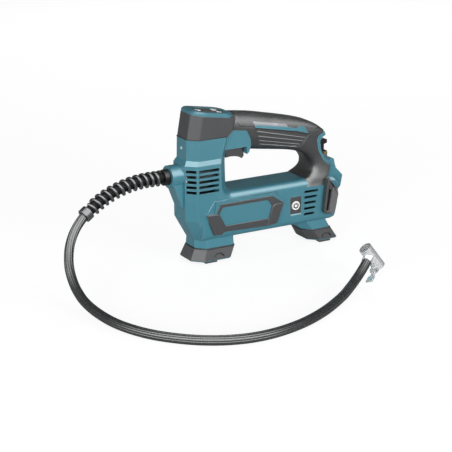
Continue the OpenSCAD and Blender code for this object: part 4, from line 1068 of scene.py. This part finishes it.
@dataclass
class Grip:
    """The soft over-mould: smooth bow, grained upper panel with its seam, sunk ribbed panel."""

    pairs: Sequence[tuple[Point, Point]] = (
        ((-37, 163), (-37, 123.4)), ((-20, 161), (-20, 119.6)), ((-4, 158.6), (-4, 117)),
        ((15, 154.6), (14, 114.4)), ((35, 150), (33, 112)), ((52, 145.6), (45, 109.8)),
        ((66, 141), (54, 106.8)), ((77, 135), (60.5, 103)), ((87, 127), (64.6, 98)),
        ((94.5, 117), (66.6, 93)), ((97, 105), (66.6, 88.5)), ((97, 94), (64.3, 84)),
        ((95, 84), (59.5, 80.4)), ((91, 76), (53.5, 77)), ((84, 68.8), (49.5, 70)),
    )
    half: float = 17.0
    flare: float = 7.0
    flares_at: float = 8.0
    flares_over: float = 6.0
    power: float = 2.5
    power_gain: float = 2.5
    squares_at: float = 3.0
    squares_over: float = 4.0
    rib_panel: Outline = (
        (-8.2, 143.6), (-2.9, 124), (50, 115.5), (61, 127.6), (46, 133.2), (-8.6, 144.0),
    )
    rib_depth: float = 0.7
    rib_height: float = 0.35
    rib_half: float = 1.1
    ribs: Sequence[Outline] = (
        ((-6.1, 139.9), (57.2, 124.8)), ((-4, 134.1), (54.1, 121.5)),
        ((-3, 129), (49.5, 118)), ((-1.9, 124.7), (45.8, 115.7)),
    )
    rib_area: Outline = ((-7.6, 142.5), (-1.2, 123.0), (45.2, 114.3), (58.4, 127.0))
    grained: Outline = (
        (-31.3, 170), (-30.6, 156), (-28.8, 149.3), (-26.8, 147.9), (-11.2, 145.8),
        (-8.6, 144), (46, 133), (61, 128), (72, 133), (82, 135), (95, 145), (60, 175), (-20, 185),
    )
    grain_height: float = 0.2
    strip_height: float = 0.25
    edge_mm: float = 0.95
    skin_mm: float = 1.6

    def point(self, u: float, angle: float) -> Vector:
        """Point of the smooth bow.

        Args:
            u: Place along the bow; whole numbers are the stations.
            angle: Angle round it, from its back.

        Returns:
            The point in metres.
        """
        last = len(self.pairs) - 1
        i = min(last - 1, max(0, math.floor(u)))
        near = [self.pairs[min(last, max(0, i + n))] for n in (-1, 0, 1, 2)]
        back, front = (spline([Vector(pair[k]) for pair in near], u - i) for k in (0, 1))
        squared = max(0.0, min(1.0, (u - self.squares_at) / self.squares_over))
        power = self.power + self.power_gain * squared
        width = self.half + self.flare * max(0.0, (u - self.flares_at) / self.flares_over) ** 2

        def super_curve(value: float) -> float:
            """Superellipse: squarer than a circle."""
            return math.copysign(abs(value) ** (2 / power), value)

        share = super_curve(math.cos(angle))
        middle = back * (0.5 + share / 2) + front * (0.5 - share / 2)
        return Vector((middle.x, width * super_curve(math.sin(angle)), middle.y)) * MM

    def form(self) -> BVHTree:
        """Search tree of the smooth bow."""
        steps = (len(self.pairs) - 1) * 12
        rings = [
            [self.point((len(self.pairs) - 1) * n / steps, math.tau * k / 120) for k in range(120)]
            for n in range(steps + 1)
        ]
        bm = bridged(rings)
        tree = BVHTree.FromBMesh(bm)
        bm.free()
        return tree

    def relief(self, x: float, z: float) -> tuple[float, tuple[float, ...]]:
        """Height of the moulded detail over the bow, and where its marks lie.

        Args:
            x: X in millimetres.
            z: Z in millimetres.

        Returns:
            Height in millimetres; grain, rib and inner as the material reads them.
        """
        sunk = smooth_step(-0.3, 0.9, inside_depth(self.rib_panel, x, z))
        heights = [z0 + (x - x0) * (z1 - z0) / (x1 - x0) for (x0, z0), (x1, z1) in self.ribs]
        above = sum(1 for h in heights if h > z)
        k = min(len(heights) - 2, max(0, above - 1))
        rib = k + (heights[k] - z) / (heights[k] - heights[k + 1])
        rib = max(-0.5, min(len(heights) - 0.5, rib))
        grain = inside_depth(self.grained, x, z) if sunk < 0.5 else -1.0
        height = self.grain_height * smooth_step(-0.4, 0.4, grain) - self.rib_depth * sunk
        inner = inside_depth(self.rib_area, x, z)
        off = (rib - round(rib)) * (heights[k] - heights[k + 1]) / self.rib_half
        height += self.rib_height * math.exp(-(off**2)) * smooth_step(-0.5, 1, inner)
        return height, (max(-2.0, min(2.0, grain)), rib, max(-2.0, inner))

    def build(self) -> None:
        """Makes both halves."""
        form = self.form()
        for side in Side:
            bm = merged_copy(f"grip_{side.word}")
            self.wrap(bm, form, self.relief)
            name = f"grip_{side.word}"
            piece_from(bm, name + "_soft", "grip_elastomer", replaces=[name], smooth=50)
            for kind, finish in (("inlay", "silver_paint"), ("accent", "teal_abs")):
                name = f"grip_{kind}_{side.word}"
                bm = merged_copy(name)
                self.wrap(bm, form, lambda _x, _z: (self.strip_height, ()))
                piece_from(bm, name + "_wrapped", finish, replaces=[name], smooth=40)

    def wrap(
        self,
        bm: bmesh.types.BMesh,
        form: BVHTree,
        relief: Callable[[float, float], tuple[float, tuple[float, ...]]],
    ) -> None:
        """Lays the outside of a mesh on the smooth bow, with its relief.

        Args:
            bm: Mesh to change.
            form: Search tree of the bow.
            relief: Height and marks from x and z in millimetres.
        """
        bmesh.ops.triangulate(bm, faces=bm.faces)
        self.refine(bm, form)
        layers = [bm.verts.layers.float.new(name) for name in ("grain", "rib", "inner")]
        outer = dict.fromkeys(v for f in bm.faces if self.is_outer(f, form) for v in f.verts)
        for vert in outer:
            place, normal, _, _ = form.find_nearest(vert.co)
            height, marks = relief(vert.co.x / MM, vert.co.z / MM)
            for layer, mark in zip(layers, marks):
                vert[layer] = mark
            level = abs(vert.co.y) < 1e-5
            vert.co = place + normal * height * MM
            if level:
                vert.co.y = 0

    def is_outer(self, face: bmesh.types.BMFace, form: BVHTree) -> bool:
        """Whether a face lies on the outside of the bow."""
        _, normal, _, distance = form.find_nearest(face.calc_center_median())
        return distance < self.skin_mm * MM and face.normal.dot(normal) > 0.8

    def refine(self, bm: bmesh.types.BMesh, form: BVHTree) -> None:
        """Splits the long edges of the outer faces until the relief can be drawn.

        Args:
            bm: Triangulated mesh of one half.
            form: Search tree of the bow.
        """
        for _ in range(9):
            outer = [f for f in bm.faces if self.is_outer(f, form)]
            edges = dict.fromkeys(e for f in outer for e in f.edges)
            long = [e for e in edges if e.calc_length() > self.edge_mm * MM]
            if not long:
                return
            longest = max(e.calc_length() for e in long)
            split = [e for e in long if e.calc_length() > longest * 0.6]
            bmesh.ops.subdivide_edges(bm, edges=split, cuts=1)
            bmesh.ops.triangulate(bm, faces=[f for f in bm.faces if len(f.verts) > 3])


# ---- housing ----------------------------------------------------------------------------
@dataclass
class Housing:
    """The two shells with rounded edges, and the fillet where the tower meets the body."""

    edge_mm: float = 0.6
    corner: Point = (-45.0, 78.0)
    fillet: float = 9.0
    flat: float = 15.0
    round_mm: float = 8.0
    tower_flat: float = 13.0
    half: float = 22.97
    root: Point = (11.0, 9.5)
    root_slip: float = 0.5

    def build(self) -> None:
        """Makes the shells and the fillet."""
        for side in Side:
            name = f"housing_{side.word}"
            bm = merged_copy(name)
            soften(bm, self.edge_mm, 28)
            piece_from(
                bm, name + "_shell", "teal_abs", replaces=[name],
                smooth=20,
            )
        piece_from(
            self.fillet_form(), "tower_fillet", "teal_abs", smooth=50
        )

    def drop(self, y: float, turn: float) -> float:
        """How far the fillet's edge falls away from its middle.

        Args:
            y: Distance from the middle plane, in millimetres.
            turn: 0 at the body's top, 1 at the tower's rear.

        Returns:
            The fall in millimetres.
        """
        over = max(0.0, y - self.flat)
        body = self.round_mm - math.sqrt(max(0.0, self.round_mm**2 - over**2))
        tower = max(0.0, y - self.tower_flat)
        return body * (1 - turn) + tower * turn

    def fillet_form(self) -> bmesh.types.BMesh:
        """Sweeps the body's edge up into the tower's rear corner."""
        steps, across = 14, 24
        x0, z0 = self.corner
        rings = []
        for n in range(steps + 1):
            turn = n / steps
            angle = turn * math.pi / 2
            line = []
            for k in range(-across, across + 1):
                y = self.half * math.sin(math.pi / 2 * k / across)
                reach = self.fillet + self.drop(abs(y), turn)
                x = x0 + self.fillet - reach * math.sin(angle)
                z = z0 + self.fillet - reach * math.cos(angle)
                line.append(Vector((x, y, z)) * MM)
            slip = self.root_slip * turn
            back = [
                Vector((x0 - self.root[0] - slip, point.y / MM, z0 - self.root[1] + slip)) * MM
                for point in (line[-1], line[0])
            ]
            rings.append(line + back)
        return bridged(rings)


# ---- details ----------------------------------------------------------------------------
@dataclass
class Display:
    """Marks on the keys and the liquid-crystal glass between them."""

    at: tuple[float, float, float] = (-59.75, 0.0, 162.922)
    tilt: float = 9.0
    glass_heights: Point = (2.6, 3.26)
    mark_heights: Point = (3.3, 3.68)

    def build(self) -> None:
        """Makes the glass and the marks."""
        self.plate("lcd_panel", [(0, 0, 14.5, 19.5)], self.glass_heights, "lcd_glass", "tool")
        plus = [(11.5, 6.25, 2.6, 0.6), (11.5, 6.25, 0.6, 2.6)]
        self.plate("plus_mark", plus, self.mark_heights, "dark_print", "plus_key")
        minus = [(11.5, -6.25, 0.6, 2.6)]
        self.plate("minus_mark", minus, self.mark_heights, "dark_print", "minus_key")
        mode = [(-11.5, 1.1, 2.4, 0.5), (-11.5, -1.1, 2.4, 0.5), (-12.6, 0, 0.5, 2.4)]
        self.plate("mode_mark", mode, self.mark_heights, "dark_print", "mode_key")

    def plate(
        self,
        name: str,
        boxes: Sequence[tuple[float, float, float, float]],
        span: Point,
        finish: str,
        body: str,
    ) -> None:
        """Makes flat boxes in the display's own frame.

        Args:
            name: Name of the piece.
            boxes: Middle x, middle y, length and width of each box, in millimetres.
            span: Heights of their undersides and tops.
            finish: Name of their finish.
            body: Body that they ride on.
        """
        turn = Matrix.Translation(Vector(self.at) * MM) @ Matrix.Rotation(
            math.radians(self.tilt), 4, "Y"
        )
        bm = bmesh.new()
        for x, y, length, width in boxes:
            middle = Vector((x, y, (span[0] + span[1]) / 2)) * MM
            size = Matrix.Diagonal((length * MM, width * MM, (span[1] - span[0]) * MM, 1))
            bmesh.ops.create_cube(bm, size=1, matrix=turn @ Matrix.Translation(middle) @ size)
        piece_from(bm, name, finish, body)


@dataclass
class Badge:
    """Frames on the sides: rounded bars with a thicker bracket at each end."""

    face: float = 25.6
    raised: float = 0.7
    brackets: Sequence[Outline] = (
        ((-73.6, 56.6), (-61.9, 56.0), (-58.9, 55.0), (-53.2, 41.0), (-53.6, 35.2), (-55.9, 32.6),
         (-64.2, 33.1)),
        ((8.7, 54.6), (12.6, 57.2), (23.0, 56.3), (14.3, 34.6), (1.9, 33.8), (4.3, 40.6)),
    )
    rim: Outline = ((-71.2, 59.1), (-63.3, 70.2), (-13.0, 70.8), (12.8, 71.1), (24.8, 56.6))
    rim_radius: float = 0.5
    rim_lift: float = 0.05
    bar_edge: float = 1.1
    bracket_edge: float = 0.5
    sunk: float = 0.8

    def build(self) -> None:
        """Makes the frames, their brackets and the rim of the pad they lie on."""
        for side in Side:
            tree = node_surface(f"housing_{side.word}")
            bm = bead(tree, self.rim, side, self.rim_radius, self.rim_lift)
            piece_from(bm, f"pad_rim_{side.word}", "teal_abs", smooth=60)
            name = f"badge_frame_{side.word}"
            bm = merged_copy(name)
            soften(bm, self.bar_edge, 30, 3)
            piece_from(
                bm, name + "_bars", "dark_nylon", replaces=[name],
                smooth=50,
            )
            for end, outline in zip(("front", "rear"), self.brackets):
                y = side.value * self.face
                bm = prism(outline, y - side.value * self.sunk, y + side.value * self.raised)
                soften(bm, self.bracket_edge, 30, 2)
                piece_from(bm, f"badge_{end}_bracket_{side.word}", "dark_nylon", smooth=50)


@dataclass
class Gaps:
    """Black rings that paint the shade of the parting gaps: round the shoes and under the
    display's cap.
    """

    rings: Sequence[tuple[str, float, float, float, float, float, float, float]] = (
        ("front_shoe_gap", 0.9, 16.4, -81.0, -36.5, 20.5, 10, 2),
        ("rear_shoe_gap", 0.9, 16.4, 57.0, 90.0, 20.5, 10, 2),
        ("cap_gap", 0.5, 140.0, -90.5, -37.2, 21.0, 10, 10),
    )

    def build(self) -> None:
        """Makes the three rings."""
        for name, wire, z, x0, x1, half, front, rear in self.rings:
            line = [
                (x0, half - front), (x0, front - half), (x0 + front, -half), (x1 - rear, -half),
                (x1, rear - half), (x1, half - rear), (x1 - rear, half), (x0 + front, half),
            ]
            rings = []
            for i in range(len(line) + 1):
                before, here, after = (
                    Vector((*line[(i + n) % len(line)], z)) * MM for n in (-1, 0, 1)
                )
                first, second = (here - before).normalized(), (after - here).normalized()
                half_turn = math.sqrt((1 + first.dot(second)) / 2)
                out = (first - second).normalized() / half_turn
                rings.append(oval(here, wire * MM * out, wire * MM * Vector((0, 0, 1))))
            piece_from(bridged(rings), name, "black_nylon", smooth=60)


@dataclass
class Terminal:
    """Contact tips between the blocks of the battery terminal."""

    ys: Sequence[float] = (-9.7, 9.7)
    half: float = 0.7
    edge_mm: float = 0.2
    tip: Outline = ((85, 103), (90.2, 103), (91, 101.6), (85, 101.2))
    foot: Outline = ((84.5, 101.2), (90.2, 101.2), (90.2, 97.2), (84.5, 96.6))

    def build(self) -> None:
        """Makes the tips."""
        for number, y in enumerate(self.ys):
            for name, outline, finish in (
                ("contact_tip", self.tip, "turned_brass"),
                ("contact_foot", self.foot, "holder_rubber"),
            ):
                bm = prism(outline, y - self.half, y + self.half)
                soften(bm, self.edge_mm)
                piece_from(bm, f"{name}_{number + 1}", finish)


@dataclass
class SideDetails:
    """Small relief on the sides: shoe arches, power mark, sill, holder slabs."""

    arches: Sequence[tuple[str, Outline]] = (
        ("front_shoe", ((-63.7, 7.2), (-60.3, 10.6), (-54.5, 10.2), (-51.1, 6.6))),
        ("rear_shoe", ((77.3, 6.8), (79.6, 10.8), (86.2, 10.8), (89.6, 6.6))),
    )
    slab: Outline = (
        (79.8, 76.2), (86.2, 68.9), (81.5, 37.9), (84.9, 35.4), (88.6, 38.0), (92.9, 57.3),
        (91.8, 63.1), (83.6, 72.0), (82.4, 76.2),
    )
    slab_at: float = 29.5
    slab_in: float = 0.4
    slab_out: float = 0.6
    slab_edge: float = 0.35
    arch_radius: float = 0.7
    arch_lift: float = 0.1
    mark_at: tuple[float, float, float] = (40.8, -23.8, 50.2)
    mark_radius: float = 2.7
    mark_high: float = 0.16
    mark_wide: float = 0.75
    bar_heights: Sequence[float] = (0.6, 2.0, 3.4)
    sill: Outline = ((-22.6, 40.6), (-23, 40.6), (-24, 39.4), (-23, 38.8), (-22.6, 38.8))
    sill_ends: Point = (33.7, 48.0)

    def build(self) -> None:
        """Makes every small relief."""
        for node, line in self.arches:
            tree = node_surface(node)
            for side in Side:
                bm = bead(tree, line, side, self.arch_radius, self.arch_lift)
                piece_from(bm, f"{node}_arch_{side.word}", "black_nylon", smooth=60)
        for side in Side:
            y = self.slab_at * side.value
            bm = prism(self.slab, y - self.slab_in * side.value, y + self.slab_out * side.value)
            soften(bm, self.slab_edge)
            piece_from(bm, f"holder_slab_{side.word}", "holder_rubber", smooth=30)
        self.power()

    def power(self) -> None:
        """Prints the power mark on the button and sets the pale sill under its plate."""
        x, y, z = self.mark_at
        steps, opening = 24, 35
        arc = []
        for k in range(steps + 1):
            angle = math.radians(90 + opening + (360 - 2 * opening) * k / steps)
            across, up = self.mark_radius * math.cos(angle), self.mark_radius * math.sin(angle)
            arc.append(Vector((x + across, y, z + up)) * MM)
        bar = [Vector((x, y, z + h)) * MM for h in self.bar_heights]
        for name, line in (("power_ring", arc), ("power_bar", bar)):
            rings = []
            for i, point in enumerate(line):
                out = Vector((0, -1, 0))
                across = direction(line, i).cross(out)
                rings.append(oval(point, self.mark_high * MM * out, self.mark_wide * MM * across))
            piece_from(bridged(rings), name, "dark_print", "power_button", smooth=60)
        ends = [[Vector((end, y, z)) * MM for y, z in self.sill] for end in self.sill_ends]
        piece_from(bridged(ends), "power_sill", "teal_abs")


# ---- whole tool -------------------------------------------------------------------------
FINISHES = (
    # Teal ABS of the shells: satin, its edges paler with rubbed wear and a painted highlight, and
    # painted shade in its hollows.
    Moulded(
        "teal_abs", "#3b7887", 0.33, grain_mm=0.7, grain_depth_mm=0.012, edge="#a9c6cb",
        edge_amount=0.55, cavity_mm=9,
    ),
    # Glass-filled nylon: near-black, its edges pale lines of rubbed wear and painted highlight,
    # and painted shade in its hollows.
    Moulded(
        "dark_nylon", "#37383a", 0.38, grain_mm=0.7, grain_depth_mm=0.015, edge="#a2a4a7",
        edge_amount=0.6, cavity_mm=4,
    ),
    # Black nylon and black-coated metal: deep and quiet, so that what is inside stays dark.
    Moulded("black_nylon", "#161617", 0.35, grain_mm=0.7, grain_depth_mm=0.015, gloss=0.4),
    Moulded("black_coating", "#161617", 0.35, grain_mm=0.7, grain_depth_mm=0.015, gloss=0.4),
    # Smoked window over the display: smooth and dark, with a weak reflection.
    Moulded("screen", "#1f2022", 0.3, grain_depth_mm=0.002, ior=1.35),
    # Warm grey glass of the display that is switched off.
    Moulded("lcd_glass", "#54514c", 0.3, grain_depth_mm=0.002),
    # Translucent silicone keys: matt white, given a painted glow in their own colour.
    Moulded("key_silicone", "#e6e6e4", 0.5, glow=0.45),
    # Elastomer of the grip: satin, with pale speckles, a painted highlight on the crests of its
    # ribs, a painted shadow under each, and painted shade in its hollows.
    Elastomer("grip_elastomer", "#2e2f30"),
    # Rubber of the shoes: matt and scuffed, greyer at its edges with wear and a painted highlight,
    # and painted shade in its hollows.
    Moulded(
        "shoe_rubber", "#414243", 0.5, grain_mm=0.8, grain_depth_mm=0.03, edge="#8d8f92",
        edge_amount=0.35, cavity_mm=3, gloss=0.6,
    ),
    # Rubber of the holders: mid grey, a little lighter than the shoes, its edges paler with wear
    # and a painted highlight.
    Moulded(
        "holder_rubber", "#58595a", 0.45, grain_mm=0.8, grain_depth_mm=0.02, edge="#a0a2a4",
        edge_amount=0.4,
    ),
    # Silver paint of the inlays: smooth mid grey with a thin gloss of lacquer.
    Moulded("silver_paint", "#787d82", 0.3, grain_depth_mm=0.003, coat=0.3),
    # Printed marks: flat white, and flat black that gives no shine.
    Moulded("white_print", "#f4f4f2", 0.4),
    Moulded("dark_print", "#1d1e1f", 0.8, gloss=0.1),
    # Solder mask of the boards: glossy dark green.
    Moulded("solder_mask", "#1c5a30", 0.3, coat=0.3),
    # Rubber of the hose and of its bend guard: dark, with long bright streaks of light, and
    # painted shade in the hose's grooves.
    Moulded("hose_rubber", "#2c2d2e", 0.27, grain_mm=0.8, cavity_mm=1.5, gloss=0.9),
    Moulded("guard_rubber", "#3a3b3d", 0.27, grain_mm=0.8, grain_depth_mm=0.015),
    # Rubber of the seals: the dullest black of all.
    Moulded("seal_rubber", "#101011", 0.6, gloss=0.15),
    # Natural nylon of the outlet tube: milky off-white.
    Moulded("nylon_tube", "#d5d4ce", 0.35),
    # Turned brass: yellow, its fine turning marks spread the shine.
    Metal("turned_brass", "#c9a55a", 0.28),
    # Ground steel: bright neutral grey.
    Metal("bright_steel", "#b9bcc0", 0.3),
    # Zinc-plated can of the motor: darker grey, soft shine.
    Metal("zinc_can", "#77797c", 0.38),
    # Die-cast aluminium: dull grey with the coarse skin of a casting.
    Metal("die_cast", "#5f6163", 0.5, mark_mm=(1, 1, 1), mark_depth_mm=0.03),
    # Chrome plate of the chuck: nearly white, mirrors the room in hard lights and darks.
    Metal(
        "chrome_plate", "#f4f6f7", 0.16, mark_mm=(3, 3, 3), mark_depth_mm=0.002, metallic=0.65
    ),
    # Hazy clear acrylic of the lamp lens: pale, with the dark behind it showing faintly.
    Clear("light_guide", "#f6fbfd", 0.35, 0.35),
)

DRESSED = {
    "teal_abs": "housing_left housing_right display_bezel grip_accent_left grip_accent_right",
    "dark_nylon": (
        "display_cap button_plate trigger badge_frame_left badge_frame_right side_holder_left "
        "side_holder_right"
    ),
    "black_nylon": "trigger_switch terminal_block fan pressure_sensor guard_collar",
    "screen": "display_window",
    "key_silicone": "plus_key minus_key mode_key",
    "light_guide": "tower_lamp_lens",
    "grip_elastomer": "grip_left grip_right",
    "silver_paint": "grip_inlay_left grip_inlay_right",
    "shoe_rubber": "front_shoe rear_shoe foot_pads",
    "white_print": "power_button",
    "solder_mask": "display_board button_board control_board",
    "turned_brass": "battery_contacts hose_nut",
    "bright_steel": (
        "motor_shaft motor_pinion drive_gear gear_bearing crank_pin housing_screws lever_pin"
    ),
    "zinc_can": "motor",
    "black_coating": "gear_frame pump_cylinder",
    "die_cast": "piston_rod cylinder_head",
    "chrome_plate": "chuck_body chuck_lever",
    "guard_rubber": "guard_ferrule",
    "nylon_tube": "outlet_tube",
    "seal_rubber": "piston_seal chuck_seal",
}
CAD_FINISH = {node: finish for finish, nodes in DRESSED.items() for node in nodes.split()}


def dress_cad_nodes() -> None:
    """Gives each CAD node its finish."""
    for node, obj in frame["nodes"].items():
        for slot in obj.material_slots:
            slot.material = MATERIALS[CAD_FINISH.get(node, "hose_rubber")]


CAP_CORNER_MM = 4.0
SOFTENED = {
    "display_cap": 1.2, "side_holder_left": 1.0, "side_holder_right": 1.0, "front_shoe": 0.8,
    "rear_shoe": 0.8, "foot_pads": 0.5, "trigger": 1.0, "display_bezel": 0.9,
    "terminal_block": 0.3,
    "chuck_body": 0.5, "chuck_lever": 0.3, "power_button": 0.3, "button_plate": 0.25,
    "guard_collar": 0.5, "guard_ferrule": 0.6,
}


def soften_cad_nodes() -> None:
    """Replaces the plain nodes that show by copies with rounded edges."""
    for node, width in SOFTENED.items():
        bm = merged_copy(node)
        if node == "display_cap":
            soften(bm, CAP_CORNER_MM, 24, 4, upright=True)
        soften(bm, width)
        body = frame["nodes"][node]["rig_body"]
        piece_from(bm, node + "_fine", CAD_FINISH[node], body, [node])


def main() -> None:
    """Builds the set, then every sub-assembly in order."""
    logging.basicConfig(level=logging.INFO, format="%(name)s %(message)s")
    MATERIALS.update({finish.name: finish.material() for finish in FINISHES})
    Studio().build()
    dress_cad_nodes()
    soften_cad_nodes()
    for assembly in (AirHose, Housing, Grip, Display, Badge, Gaps, Terminal, SideDetails):
        assembly().build()


if __name__ == "__main__":
    main()
